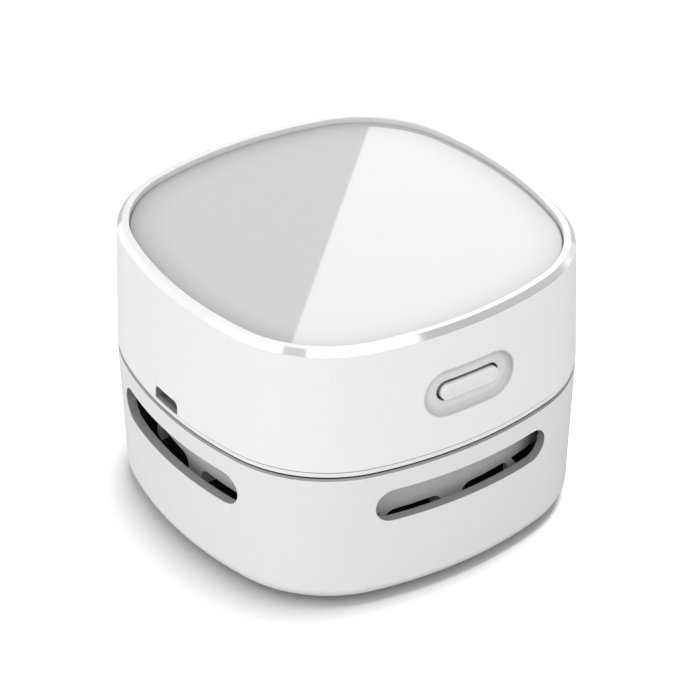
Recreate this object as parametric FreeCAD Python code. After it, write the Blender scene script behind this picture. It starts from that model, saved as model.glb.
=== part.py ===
import FreeCAD, Part
import math
import os

from FreeCAD import Vector

# Desktop mini vacuum cleaner, 85 x 85 x 60 mm, in millimetres.
# +Z is up, z = 0 is the desk under the foot pads, and the axis runs through the middle of the body.
# The button is on the -Y side and the charging notch on the -X side.
# "inset" is a distance inward from the widest plan outline of the body.

# ---- body ----
BODY_WIDTH = 85.0          # across two opposite sides
BODY_HEIGHT = 60.0         # desk to rim
SIDE_RADIUS = 83.3         # plan radius of the bowed sides
CORNER_RADIUS = 26.8       # plan radius of the corners
WALL = 2.0                 # moulded wall of both shells
FOOT_HEIGHT = 1.4          # the tub's underside above the desk
SEAM_Z = 31.4              # top edge of the lower shell
SEAM_GAP = 0.6             # gap that the gasket fills
GASKET_INSET = 0.5         # from the tub's outline
GASKET_WIDTH = 1.3
BAND_HEIGHT = 1.2          # chassis rim that shows above the seam
LOWER_DRAFT = 0.033        # inward per mm, downwards from the seam
UPPER_DRAFT = 0.0355       # inward per mm, upwards from the seam
BOTTOM_RADIUS = 3.0        # round edge under the tub
SEAM_CHAMFER = 0.5         # broken top edge of the tub
SHADOW_STEP = 0.05         # hairline between the chassis rim and the upper shell

# ---- exhaust slots and the skirt behind them ----
SLOT_LENGTH = 40.8
SLOT_LOW = 19.4
SLOT_HIGH = 26.9
GUIDE_INSET = 6.0          # outer face of the air guide
GUIDE_WALL = 1.6
WINDOW_TOP = 17.65
WINDOW_CORNER = 2.3        # round upper corners of the windows
PILLAR_HALF = 2.4          # half width of the pillar in the middle of each side
PILLAR_DEPTH = 4.0         # the pillar is thicker than the skirt
WINDOW_END = 15.1          # outer end of the side windows
RIB_TOP_WIDTH = 0.8        # rib between a side window and the corner window, at its top
RIB_FOOT_WIDTH = 2.3       # the same rib at its foot
DECK_LOW = 21.0            # motor deck
DECK_THICK = 1.6

# ---- base ----
FLOOR_THICK = 2.0
FLOOR_TOP = FOOT_HEIGHT + FLOOR_THICK
MOUTH_RADIUS = 21.0        # hole in the floor
LEDGE_TOP = 10.0           # shelf that carries the filter
LEDGE_THICK = 1.4
LEDGE_INSET = 5.5
FOOT_PLACE = 24.0
FOOT_RADIUS = 5.0
NOZZLE_MOUTH = 17.0
NOZZLE_FLANGE = 27.0
FLANGE_TOP = FLOOR_TOP + 1.2
NOZZLE_TOP = 8.6
CHIMNEY_RADIUS = 11.0
CONE_FOOT = 15.2           # outer radius of the funnel at its flange
CONE_TOP = 7.2             # height where the funnel meets the chimney
THROAT_LOW = 6.4
NOZZLE_WALL = 1.2
CARRIER_LOW = 1.7
BRISTLE_CIRCLE = 19.4
BRISTLE_COUNT = 24
BRISTLE_RADIUS = 0.75
BRISTLE_TIP = 0.3          # the tips clear the desk by this

# ---- filter ----
FRAME_HIGH = 12.0
FRAME_INSET = 3.2
FRAME_WINDOW_INSET = 8.4
MESH_LOW = 10.8
MESH_THICK = 0.4
BAR_PITCH = 14.0
BAR_WIDTH = 1.4
LIFT_TAB_PLACE = 31.0
LIFT_TAB_TOP = 18.0

# ---- fan ----
INLET_LOW = 12.2           # underside of the inlet plate, just over the filter
INLET_THICK = 1.2
EYE_RADIUS = 11.6
IMPELLER_RADIUS = 25.0
IMPELLER_LOW = 15.2
IMPELLER_TOP = 20.6
HUB_RADIUS = 4.0
BLADE_COUNT = 11
BLADE_THICK = 0.9
BLADE_START = 6.0          # radius of the blades' inner ends
BLADE_SWEEP = math.radians(58)
SHAFT_RADIUS = 1.0
SHAFT_LOW = 15.0
RUNNING_GAP = 0.05         # radial clearance of the shaft in its bushings

# ---- motor ----
CAN_RADIUS = 12.0
CAN_LENGTH = 25.0
CAN_WALL = 0.9
CAN_BASE = DECK_LOW + DECK_THICK
CAN_TOP = CAN_BASE + CAN_LENGTH
TERMINAL_X = 7.6
TERMINAL_TOP = CAN_TOP + 2.4
COMMUTATOR_RADIUS = 2.6
BRUSH_BACK = 4.0           # outer end of a carbon brush, on its terminal's arm
BUSHING_RADIUS = 2.4
MAGNET_INNER = 9.2         # bore between the magnets
MAGNET_LENGTH = 16.0
POLE_RADIUS = 8.7
CORE_LOW = CAN_BASE + 5.5
CORE_HIGH = CORE_LOW + 12
POLE_NECK = 1.3            # half width of a pole under its coil
COIL_HALF = 2.7
TERMINAL_HALF = 1.0
TERMINAL_THICK = 0.4

# ---- chassis ----
CHASSIS_LOW = SEAM_Z + SEAM_GAP
BAND_TOP = CHASSIS_LOW + BAND_HEIGHT
CHASSIS_TOP = CHASSIS_LOW + WALL
BAND_INSET = 0.3
GUIDE_SCREW_PLACE = 25.6   # four screws on the diagonals
CELL_SIDE_SCREW_X = 31.2   # two shell screws beside the cell
CELL_SIDE_SCREW_Y = 12.0
BOARD_SIDE_SCREW_X = -29.0  # two shell screws beyond the ends of the board
BOARD_SIDE_SCREW_Y = 20.5

# ---- upper shell, rim and lid ----
RIM_BEVEL_WIDTH = 1.16
RIM_BEVEL_HEIGHT = 1.2
RIM_LAND_INSET = 3.45      # inner edge of the rim's flat top
RIM_SEAT_Z = 57.0          # deck that carries the rim and the lid
RIM_LEG_INSET = 2.1
LID_TOP = BODY_HEIGHT - 1.2
LID_GAP = 0.15
DECK_TOP_THICK = 1.5

# ---- button ----
BUTTON_Z = 45.6
DISH_LENGTH = 20.8
DISH_HEIGHT = 10.0
DISH_DEPTH = 1.0
DISH_FILLET = 0.8          # round where the dish's sides meet its floor
BUTTON_LENGTH = 13.6
BUTTON_HEIGHT = 3.4
BUTTON_GAP = 0.5
BUTTON_PROUD = 0.95        # above the dish's floor
BUTTON_FLANGE = 1.2        # flange behind the wall, beyond the cap
BUTTON_WALL = 2.4          # wall behind the dish
STEM_RADIUS = 1.5
STEM_LENGTH = 0.8
PLUNGER_RADIUS = 1.6
PLUNGER_LENGTH = 1.6

# ---- charging socket ----
NOTCH_Y = 0.4
NOTCH_WIDTH = 8.0
NOTCH_HEIGHT = 2.9
NOTCH_CORNER = 1.2
POCKET_DEPTH = 0.6         # hollow in the chassis under the socket
POCKET_FRONT = 41.2
POCKET_BACK = 33.0
SOCKET_WIDTH = 7.5
SOCKET_HEIGHT = 2.6
SOCKET_FRONT = -40.2       # just behind the shell's inner face
SOCKET_DEPTH = 5.6
BOARD_LOW = 36.0
BOARD_THICK = 1.2
BOARD_BACK = -37.2         # edge of the circuit board beside the socket
BOARD_FRONT = -14.6
BOARD_HALF = 16.0
SWITCH_HALF = 3.0          # half width of the switch body
SWITCH_FRONT = -36.0
SWITCH_BOARD_FRONT = -32.6
SWITCH_BOARD_HALF = 9.4
SWITCH_BOARD_LOW = 38.0
SWITCH_POST_X = 8.6
SWITCH_POST_HALF = 1.7

# ---- cell and wires ----
BATTERY_X = 20.6
BATTERY_Z = 41.6
BATTERY_RADIUS = 7.0
BATTERY_HALF = 21.5
BATTERY_NUB = 0.9
TAB_TOP = BATTERY_Z + BATTERY_RADIUS
LEAD_RADIUS = 0.6
LEAD_BEND = 2.5
PLUG_TOP = BOARD_LOW + BOARD_THICK + 4.5

# ---- screws ----
FINE_SHANK = 0.9           # screws of the nozzle, the inlet plate, the motor and the board
FINE_HEAD = 1.8
FINE_HEAD_HEIGHT = 1.2
INLET_SINK = 0.7           # depth of the sunk heads under the inlet plate
MOTOR_SINK = 0.8           # depth of the sunk heads under the motor deck
GUIDE_SHANK = 1.25
GUIDE_HEAD = 2.4
GUIDE_HEAD_HEIGHT = 1.5
SHELL_SHANK = 1.1
SHELL_HEAD = 2.3
SHELL_HEAD_HEIGHT = 1.4
NOZZLE_SCREW_CIRCLE = 24.2
GUIDE_POST = 2.9           # radius of the posts round the guide screws
BOARD_POST = 2.0

HALF = BODY_WIDTH / 2
UP = Vector(0, 0, 1)
ALONG_X = Vector(1, 0, 0)
ALONG_Y = Vector(0, 1, 0)
ORIGIN = Vector(0, 0, 0)


# ---------------------------------------------------------------- plan outline

def turned_point(x, y, z, quarter):
    """A point in plan, turned by a number of quarter turns about the axis."""
    angle = quarter * math.pi / 2
    return Vector(
        x * math.cos(angle) - y * math.sin(angle),
        x * math.sin(angle) + y * math.cos(angle),
        z,
    )


def plan_arc(centre_x, centre_y, radius, start, end, quarter, z):
    """An arc in plan, turned by a number of quarter turns."""
    points = []
    for angle in (start, (start + end) / 2, end):
        x = centre_x + radius * math.cos(angle)
        y = centre_y + radius * math.sin(angle)
        points.append(turned_point(x, y, z, quarter))
    return Part.Arc(*points).toShape()


def outline(inset, z):
    """The body's plan as a closed wire: four bowed sides that run tangent into four round corners."""
    side_centre = HALF - SIDE_RADIUS
    reach = SIDE_RADIUS - CORNER_RADIUS
    corner_centre = (side_centre + math.sqrt(2 * reach ** 2 - side_centre ** 2)) / 2
    tangent = math.atan2(corner_centre, corner_centre - side_centre)
    side = SIDE_RADIUS - inset
    corner = CORNER_RADIUS - inset
    edges = []
    for quarter in range(4):
        edges.append(plan_arc(side_centre, 0, side, -tangent, tangent, quarter, z))
        edges.append(
            plan_arc(corner_centre, corner_centre, corner, tangent, math.pi / 2 - tangent, quarter, z)
        )
    return Part.Wire(edges)


def prism(inset, low, high):
    """Straight solid of the body's plan."""
    return Part.Face(outline(inset, low)).extrude(UP * (high - low))


def drafted(low_inset, low, high_inset, high):
    """Solid of the body's plan whose sides lean."""
    return Part.makeLoft([outline(low_inset, low), outline(high_inset, high)], True, True)


def ring(outer_inset, inner_inset, low, high):
    """Straight ring that follows the body's plan."""
    return prism(outer_inset, low, high).cut(prism(inner_inset, low - 1, high + 1))


def lower_inset(z):
    return 0.1 + LOWER_DRAFT * (SEAM_Z - z)


def upper_inset(z):
    return UPPER_DRAFT * (z - SEAM_Z)


# ---------------------------------------------------------------- small shapes

def rod(radius, low, high, x=0.0, y=0.0):
    """Upright cylinder."""
    return Part.makeCylinder(radius, high - low, Vector(x, y, low), UP)


def tube(outer, inner, low, high, x=0.0, y=0.0):
    """Upright tube."""
    return rod(outer, low, high, x, y).cut(rod(inner, low - 1, high + 1, x, y))


def box(x_low, x_high, y_low, y_high, z_low, z_high):
    return Part.makeBox(x_high - x_low, y_high - y_low, z_high - z_low, Vector(x_low, y_low, z_low))


def revolved(points):
    """Solid turned about the axis from (radius, z) points."""
    corners = [Vector(radius, 0, z) for radius, z in points]
    face = Part.Face(Part.makePolygon(corners + corners[:1]))
    return face.revolve(ORIGIN, UP, 360)


def stadium_wire(length, height, y, z):
    """Upright slot shape with round ends, in the plane at y, centred on x = 0."""
    radius = height / 2
    reach = length / 2 - radius
    top_left = Vector(-reach, y, z + radius)
    top_right = Vector(reach, y, z + radius)
    low_left = Vector(-reach, y, z - radius)
    low_right = Vector(reach, y, z - radius)
    return Part.Wire([
        Part.LineSegment(top_left, top_right).toShape(),
        Part.Arc(top_right, Vector(length / 2, y, z), low_right).toShape(),
        Part.LineSegment(low_right, low_left).toShape(),
        Part.Arc(low_left, Vector(-length / 2, y, z), top_left).toShape(),
    ])


def stadium(length, height, z, y_low, y_high):
    """Slot-shaped bar along Y."""
    return Part.Face(stadium_wire(length, height, y_low, z)).extrude(ALONG_Y * (y_high - y_low))


def quarter_turned(shape, quarter):
    copy = shape.copy()
    copy.rotate(ORIGIN, UP, 90 * quarter)
    return copy


def joined(shapes):
    """One solid of shapes that touch or overlap."""
    whole = shapes[0]
    if len(shapes) > 1:
        whole = whole.fuse(shapes[1:])
    return whole.removeSplitter()


def rounded(shape, radius, keep):
    """Fillets the edges that keep() picks."""
    return shape.makeFillet(radius, [edge for edge in shape.Edges if keep(edge)])


def broken(shape, size, keep):
    """Chamfers the edges that keep() picks."""
    return shape.makeChamfer(size, [edge for edge in shape.Edges if keep(edge)])


def polygon(radius, sides, x=0.0, y=0.0, z=0.0):
    """Level wire with equal sides."""
    corners = []
    for number in range(sides):
        angle = 2 * math.pi * number / sides
        corners.append(Vector(x + radius * math.cos(angle), y + radius * math.sin(angle), z))
    return Part.makePolygon(corners + corners[:1])


def level(z):
    """Picks the edges that lie wholly at height z."""
    return lambda edge: edge.BoundBox.ZMin > z - 0.01 and edge.BoundBox.ZMax < z + 0.01


def shank(x, y, start, tip, radius):
    """A screw's shank, with six flats that stand in for its thread."""
    return Part.Face(polygon(radius, 6, x, y, start)).extrude(UP * (tip - start))


def pan_screw(x, y, seat, tip, head_radius, head_height, shank_radius):
    """Pan-headed screw: its head bears on seat, and its shank runs to tip, above or below the seat."""
    away = -1 if tip > seat else 1
    head_end = seat + away * head_height
    head = rod(head_radius, min(seat, head_end), max(seat, head_end), x, y)
    return head.fuse(shank(x, y, seat, tip, shank_radius)).removeSplitter()


# ---------------------------------------------------------------- base

def lower_shell():
    """Tub with drafted walls, a shelf for the filter, the mouth and four exhaust slots."""
    outer = drafted(lower_inset(FOOT_HEIGHT), FOOT_HEIGHT, lower_inset(SEAM_Z), SEAM_Z)
    outer = rounded(outer, BOTTOM_RADIUS, level(FOOT_HEIGHT))
    outer = broken(outer, SEAM_CHAMFER, level(SEAM_Z))
    above = SEAM_Z + 1
    cavity = drafted(lower_inset(FLOOR_TOP) + WALL, FLOOR_TOP, lower_inset(above) + WALL, above)
    shell = outer.cut(cavity)
    shelf_low = LEDGE_TOP - LEDGE_THICK
    shelf = ring(lower_inset(shelf_low) + WALL / 2, LEDGE_INSET, shelf_low, LEDGE_TOP)
    shell = shell.fuse(shelf).removeSplitter()
    slot_middle = (SLOT_LOW + SLOT_HIGH) / 2
    slot = stadium(SLOT_LENGTH, SLOT_HIGH - SLOT_LOW, slot_middle, -HALF - 1, -HALF + 6)
    tools = [quarter_turned(slot, quarter) for quarter in range(4)]
    tools.append(rod(MOUTH_RADIUS, 0, FLOOR_TOP + 1))
    for x, y in nozzle_screw_places():
        tools.append(rod(FINE_SHANK, FOOT_HEIGHT + 0.5, FLOOR_TOP + 1, x, y))
    return shell.cut(tools)


def foot_places():
    return [(sx * FOOT_PLACE, sy * FOOT_PLACE) for sx, sy in ((1, 1), (-1, 1), (-1, -1), (1, -1))]


def nozzle_screw_places():
    """Three screws round the nozzle's flange."""
    places = []
    for third in range(3):
        angle = math.radians(90 + 120 * third)
        places.append((NOZZLE_SCREW_CIRCLE * math.cos(angle), NOZZLE_SCREW_CIRCLE * math.sin(angle)))
    return places


def foot_pad(x, y):
    """Rubber disc bonded to the underside."""
    return rod(FOOT_RADIUS, 0, FOOT_HEIGHT, x, y)


def intake_nozzle():
    """Funnel from the wide mouth to a chimney that keeps the dust from falling back out."""
    low = FLOOR_TOP - 1.4
    throat = CHIMNEY_RADIUS - NOZZLE_WALL
    body = revolved([
        (NOZZLE_MOUTH, low),
        (NOZZLE_MOUTH + 1.0, low),
        (NOZZLE_MOUTH + 1.0, FLOOR_TOP),
        (NOZZLE_FLANGE, FLOOR_TOP),
        (NOZZLE_FLANGE, FLANGE_TOP),
        (CONE_FOOT, FLANGE_TOP),
        (CHIMNEY_RADIUS, CONE_TOP),
        (CHIMNEY_RADIUS, NOZZLE_TOP),
        (throat, NOZZLE_TOP),
        (throat, THROAT_LOW),
    ])
    holes = [rod(FINE_SHANK + 0.2, FLOOR_TOP - 1, FLANGE_TOP + 1, x, y) for x, y in nozzle_screw_places()]
    return body.cut(holes)


def nozzle_screws():
    tip = FOOT_HEIGHT + 0.5
    size = (FINE_HEAD, FINE_HEAD_HEIGHT, FINE_SHANK)
    return [pan_screw(x, y, FLANGE_TOP, tip, *size) for x, y in nozzle_screw_places()]


def bristle_places():
    places = []
    for index in range(BRISTLE_COUNT):
        angle = 2 * math.pi * (index + 0.5) / BRISTLE_COUNT
        places.append((BRISTLE_CIRCLE * math.cos(angle), BRISTLE_CIRCLE * math.sin(angle)))
    return places


def brush_carrier():
    """Ring pressed into the mouth round the nozzle."""
    return tube(MOUTH_RADIUS - 0.05, NOZZLE_MOUTH + 1.05, CARRIER_LOW, FLOOR_TOP)


def bristle_tufts():
    """Nylon tufts bonded under the carrier."""
    tufts = []
    for x, y in bristle_places():
        foot = Part.Face(polygon(BRISTLE_RADIUS, 6, x, y, BRISTLE_TIP))
        tufts.append(foot.extrude(UP * (CARRIER_LOW - BRISTLE_TIP)))
    return tufts


# ---------------------------------------------------------------- filter

def filter_frame():
    """Rim with crossed bars under the mesh, and an upright tab in one corner to lift it by."""
    rim = ring(FRAME_INSET, FRAME_WINDOW_INSET, LEDGE_TOP, FRAME_HIGH)
    reach = HALF - FRAME_WINDOW_INSET + 1
    bars = []
    for place in (-BAR_PITCH, 0.0, BAR_PITCH):
        low = place - BAR_WIDTH / 2
        high = place + BAR_WIDTH / 2
        bars.append(box(low, high, -reach, reach, LEDGE_TOP, MESH_LOW))
        bars.append(box(-reach, reach, low, high, LEDGE_TOP, MESH_LOW))
    inside = prism(FRAME_WINDOW_INSET - 0.5, LEDGE_TOP, FRAME_HIGH)
    bars = [bar.common(inside) for bar in bars]
    tab = ring(FRAME_INSET + 0.3, FRAME_INSET + 1.5, FRAME_HIGH - 0.5, LIFT_TAB_TOP)
    corner = LIFT_TAB_PLACE
    tab = tab.common(box(corner - 5, corner + 5, corner - 5, corner + 5, 0, LIFT_TAB_TOP))
    return joined([rim] + bars + [tab])


def filter_mesh():
    """Woven sheet bonded inside the frame's rim, on top of the bars."""
    return prism(FRAME_WINDOW_INSET, MESH_LOW, MESH_LOW + MESH_THICK)


# ---------------------------------------------------------------- fan casing

def side_window():
    """Tool for the two windows either side of a pillar, through the skirt on the -Y side and no other."""
    low = INLET_LOW - 1
    width = WINDOW_END - PILLAR_HALF
    cutter = box(PILLAR_HALF, WINDOW_END, -HALF, -HALF / 2 - 4, low, WINDOW_TOP)
    cutter = rounded(
        cutter,
        WINDOW_CORNER,
        lambda edge: level(WINDOW_TOP)(edge) and edge.BoundBox.XLength < width / 2,
    )
    return [cutter, cutter.mirror(ORIGIN, ALONG_X)]


def corner_window():
    """Tool for the window round one corner of the skirt. The ribs beside it widen towards their feet."""
    low = INLET_LOW - 1
    top = WINDOW_END + RIB_TOP_WIDTH
    foot = WINDOW_END + RIB_FOOT_WIDTH
    knee = WINDOW_TOP - 2.2

    def square(start, z):
        places = [(start, -start), (HALF, -start), (HALF, -HALF), (start, -HALF)]
        corners = [Vector(x, y, z) for x, y in places]
        return Part.makePolygon(corners + corners[:1])

    return Part.makeLoft([square(foot, low), square(foot, knee), square(top, WINDOW_TOP)], True, True)


def guide_screw_places():
    place = GUIDE_SCREW_PLACE
    return [(place, place), (-place, place), (-place, -place), (place, -place)]


def inlet_screw_places():
    """Under the middle pillar of each side."""
    reach = HALF - GUIDE_INSET - GUIDE_WALL - 1.9
    return [(0, -reach), (reach, 0), (0, reach), (-reach, 0)]


def air_guide():
    """Windowed skirt that lets the fan's air out to the slots, with the deck that carries the motor."""
    low = INLET_LOW + INLET_THICK
    skirt = ring(GUIDE_INSET, GUIDE_INSET + GUIDE_WALL, low, CHASSIS_LOW)
    cutters = []
    for quarter in range(4):
        for tool in side_window() + [corner_window()]:
            cutters.append(quarter_turned(tool, quarter))
    skirt = skirt.cut(cutters)
    deck_top = DECK_LOW + DECK_THICK
    deck = prism(GUIDE_INSET + GUIDE_WALL - 0.4, DECK_LOW, deck_top)
    pieces = [skirt, deck]
    for x, y in guide_screw_places():
        post = rod(GUIDE_POST, DECK_LOW, CHASSIS_LOW, x, y)
        pieces.append(post.common(prism(GUIDE_INSET + 0.5, 0, BODY_HEIGHT)))
    pillar_face = GUIDE_INSET + 0.5 - HALF
    pillar_back = GUIDE_INSET + PILLAR_DEPTH - HALF
    pillar = box(-PILLAR_HALF, PILLAR_HALF, pillar_face, pillar_back, low, DECK_LOW + 0.5)
    for quarter in range(4):
        pieces.append(quarter_turned(pillar, quarter))
    collar = tube(CAN_RADIUS + 1.5, CAN_RADIUS + 0.1, deck_top, deck_top + 4)
    pieces.append(collar)
    guide = joined(pieces)
    holes = [rod(3.05, DECK_LOW - 1, deck_top + 1)]
    for x, y in guide_screw_places():
        holes.append(rod(GUIDE_SHANK + 0.15, DECK_LOW - 1, CHASSIS_LOW + 1, x, y))
    for x, y in inlet_screw_places():
        holes.append(rod(FINE_SHANK, low - 1, low + 4.6, x, y))
    for x, y in motor_screw_places():
        holes.append(rod(FINE_SHANK + 0.05, DECK_LOW - 1, deck_top + 1, x, y))
        holes.append(rod(FINE_HEAD + 0.1, DECK_LOW - 1, DECK_LOW + MOTOR_SINK, x, y))
    return guide.cut(holes)


def inlet_plate():
    """Floor of the fan chamber, with a collar round the eye under the impeller."""
    high = INLET_LOW + INLET_THICK
    plate = joined([prism(GUIDE_INSET, INLET_LOW, high), rod(EYE_RADIUS + 1.2, INLET_LOW, high + 1.0)])
    holes = [rod(EYE_RADIUS, INLET_LOW - 1, high + 2)]
    for x, y in inlet_screw_places():
        holes.append(rod(FINE_SHANK + 0.1, INLET_LOW - 1, high + 1, x, y))
        holes.append(rod(FINE_HEAD + 0.2, INLET_LOW - 1, INLET_LOW + INLET_SINK, x, y))
    return plate.cut(holes)


def inlet_screws():
    seat = INLET_LOW + INLET_SINK
    tip = INLET_LOW + INLET_THICK + 4.2
    return [pan_screw(x, y, seat, tip, FINE_HEAD, INLET_SINK, FINE_SHANK) for x, y in inlet_screw_places()]


def guide_screws():
    tip = CHASSIS_TOP + 2.6
    size = (GUIDE_HEAD, GUIDE_HEAD_HEIGHT, GUIDE_SHANK)
    return [pan_screw(x, y, DECK_LOW, tip, *size) for x, y in guide_screw_places()]


# ---------------------------------------------------------------- motor

def motor_screw_places():
    return [(8.0, 0.0), (-8.0, 0.0)]


def motor_can():
    """Drawn steel can, closed at the shaft end, with a bushing boss and two cooling openings."""
    can = rod(CAN_RADIUS, CAN_BASE, CAN_TOP).cut(rod(CAN_RADIUS - CAN_WALL, CAN_BASE + 1, CAN_TOP + 1))
    can = can.fuse(rod(3.0, DECK_LOW, CAN_BASE + 1)).removeSplitter()
    holes = [rod(BUSHING_RADIUS, DECK_LOW - 1, CAN_BASE + 2)]
    for x, y in motor_screw_places():
        holes.append(rod(FINE_SHANK, CAN_BASE - 1, CAN_BASE + 2, x, y))
    holes.append(box(-2.5, 2.5, -CAN_RADIUS - 1, CAN_RADIUS + 1, CAN_TOP - 6, CAN_TOP - 2.5))
    return can.cut(holes)


def bushing(low, high):
    """Sintered sleeve that the shaft turns in."""
    return tube(BUSHING_RADIUS, SHAFT_RADIUS + RUNNING_GAP, low, high)


def motor_magnets():
    """Two arc magnets inside the can."""
    low = CAN_BASE + 3.5
    high = low + MAGNET_LENGTH
    sleeve = tube(CAN_RADIUS - CAN_WALL, MAGNET_INNER, low, high)
    keep = box(-6.5, 6.5, 0, CAN_RADIUS, low - 1, high + 1)
    return [sleeve.common(keep), sleeve.common(keep.mirror(ORIGIN, ALONG_Y))]


def motor_end_cap():
    """Moulded cap in the can's open end, with the rear bushing's boss."""
    cap = rod(CAN_RADIUS - CAN_WALL, CAN_TOP - 2, CAN_TOP).fuse(rod(3.9, CAN_TOP - 2.6, CAN_TOP + 1.6))
    holes = [rod(BUSHING_RADIUS, CAN_TOP - 0.6, CAN_TOP + 2), rod(SHAFT_RADIUS + 0.3, CAN_TOP - 4, CAN_TOP)]
    half = TERMINAL_THICK / 2
    slot = box(-half, half, -TERMINAL_HALF, TERMINAL_HALF, CAN_TOP - 3, CAN_TOP + 1)
    for x in (-TERMINAL_X, TERMINAL_X):
        holes.append(slot.translated(ALONG_X * x))
    return cap.removeSplitter().cut(holes)


def motor_terminals():
    """Brass tabs that carry a carbon brush at their lower ends."""
    half = TERMINAL_HALF
    foot_high = CAN_TOP - 2.4
    foot_low = foot_high - TERMINAL_THICK
    outer = TERMINAL_X + TERMINAL_THICK / 2
    upright = box(outer - TERMINAL_THICK, outer, -half, half, foot_low, TERMINAL_TOP)
    foot = box(BRUSH_BACK, TERMINAL_X, -half, half, foot_low, foot_high)
    arm = box(BRUSH_BACK, BRUSH_BACK + TERMINAL_THICK, -half, half, CAN_TOP - 5.4, foot_high)
    tab = joined([upright, foot, arm])
    return [tab, quarter_turned(tab, 2)]


def carbon_brushes():
    brush = box(COMMUTATOR_RADIUS + RUNNING_GAP, BRUSH_BACK, -0.8, 0.8, CAN_TOP - 5.2, CAN_TOP - 3.6)
    return [brush, quarter_turned(brush, 2)]


def motor_screws():
    size = (FINE_HEAD, MOTOR_SINK, FINE_SHANK)
    return [pan_screw(x, y, DECK_LOW + MOTOR_SINK, CAN_BASE + 1, *size) for x, y in motor_screw_places()]


def motor_shaft():
    return broken(rod(SHAFT_RADIUS, SHAFT_LOW, CAN_TOP + 1.4), 0.3, level(SHAFT_LOW))


def armature_core():
    """Stack of steel laminations with three poles."""
    low = CORE_LOW
    high = CORE_HIGH
    shoes = tube(POLE_RADIUS, POLE_RADIUS - 1.2, low, high)
    pieces = [rod(2.9, low, high)]
    for pole in range(3):
        tooth = box(0, 8.0, -POLE_NECK, POLE_NECK, low, high)
        span = math.radians(48)
        reach = 12.0
        corners = [
            Vector(0, 0, low),
            Vector(reach * math.cos(span), -reach * math.sin(span), low),
            Vector(reach * 1.4, 0, low),
            Vector(reach * math.cos(span), reach * math.sin(span), low),
        ]
        wedge = Part.Face(Part.makePolygon(corners + corners[:1])).extrude(UP * (high - low))
        for piece in (tooth, shoes.common(wedge)):
            piece.rotate(ORIGIN, UP, 120 * pole)
            pieces.append(piece)
    return joined(pieces).cut(rod(SHAFT_RADIUS, low - 1, high + 1))


def armature_windings():
    """One copper coil round each pole."""
    coils = []
    for pole in range(3):
        coil = box(3.1, 6.6, -COIL_HALF, COIL_HALF, CORE_LOW - 1.5, CORE_HIGH + 1.5)
        coil = broken(coil, 0.9, lambda edge: edge.BoundBox.XLength > 3)
        coil = coil.cut(box(0, 8, -POLE_NECK, POLE_NECK, CORE_LOW, CORE_HIGH))
        coil.rotate(ORIGIN, UP, 120 * pole)
        coils.append(coil)
    return coils


def commutator():
    """Copper barrel of three segments on a moulded core."""
    low = CAN_TOP - 6.0
    high = CAN_TOP - 3.0
    barrel = rod(COMMUTATOR_RADIUS, low, high).cut(rod(SHAFT_RADIUS, low - 1, high + 1))
    grooves = []
    for segment in range(3):
        groove = box(2.2, 3, -0.15, 0.15, low + 0.5, high + 1)
        groove.rotate(ORIGIN, UP, 120 * segment + 60)
        grooves.append(groove)
    return barrel.cut(grooves)


def blade_edge(side):
    """One face of a blade: an arc through three points on a sweep that lags with the radius."""
    points = []
    for along in (0.0, 0.5, 1.0):
        radius = BLADE_START + along * (IMPELLER_RADIUS - 0.3 - BLADE_START)
        angle = -BLADE_SWEEP * along + side * BLADE_THICK / 2 / radius
        points.append(Vector(radius * math.cos(angle), radius * math.sin(angle), IMPELLER_LOW))
    return points


def blade(index):
    """Backward-curved blade that stands on the back disc."""
    near = blade_edge(-1)
    far = blade_edge(1)
    wire = Part.Wire([
        Part.Arc(*near).toShape(),
        Part.LineSegment(near[2], far[2]).toShape(),
        Part.Arc(*reversed(far)).toShape(),
        Part.LineSegment(far[0], near[0]).toShape(),
    ])
    solid = Part.Face(wire).extrude(UP * (IMPELLER_TOP - 0.2 - IMPELLER_LOW))
    solid.rotate(ORIGIN, UP, 360.0 * index / BLADE_COUNT)
    return solid


def impeller():
    """Moulded fan wheel: hub, back disc and backward-curved blades."""
    disc_low = IMPELLER_TOP - 0.9
    wheel = revolved([
        (SHAFT_RADIUS, IMPELLER_LOW - 0.4),
        (HUB_RADIUS - 1.4, IMPELLER_LOW - 0.4),
        (HUB_RADIUS, disc_low),
        (IMPELLER_RADIUS, disc_low),
        (IMPELLER_RADIUS, IMPELLER_TOP),
        (SHAFT_RADIUS, IMPELLER_TOP),
    ])
    return joined([wheel] + [blade(index) for index in range(BLADE_COUNT)])


# ---------------------------------------------------------------- chassis

def shell_screw_places():
    places = []
    for side in (1, -1):
        places.append((CELL_SIDE_SCREW_X, side * CELL_SIDE_SCREW_Y))
        places.append((BOARD_SIDE_SCREW_X, side * BOARD_SIDE_SCREW_Y))
    return places


def board_screw_places():
    """Two opposite corners of the board. The other two rest on plain blocks."""
    return [(-34.6, 13.2), (-17.2, -13.2)]


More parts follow.
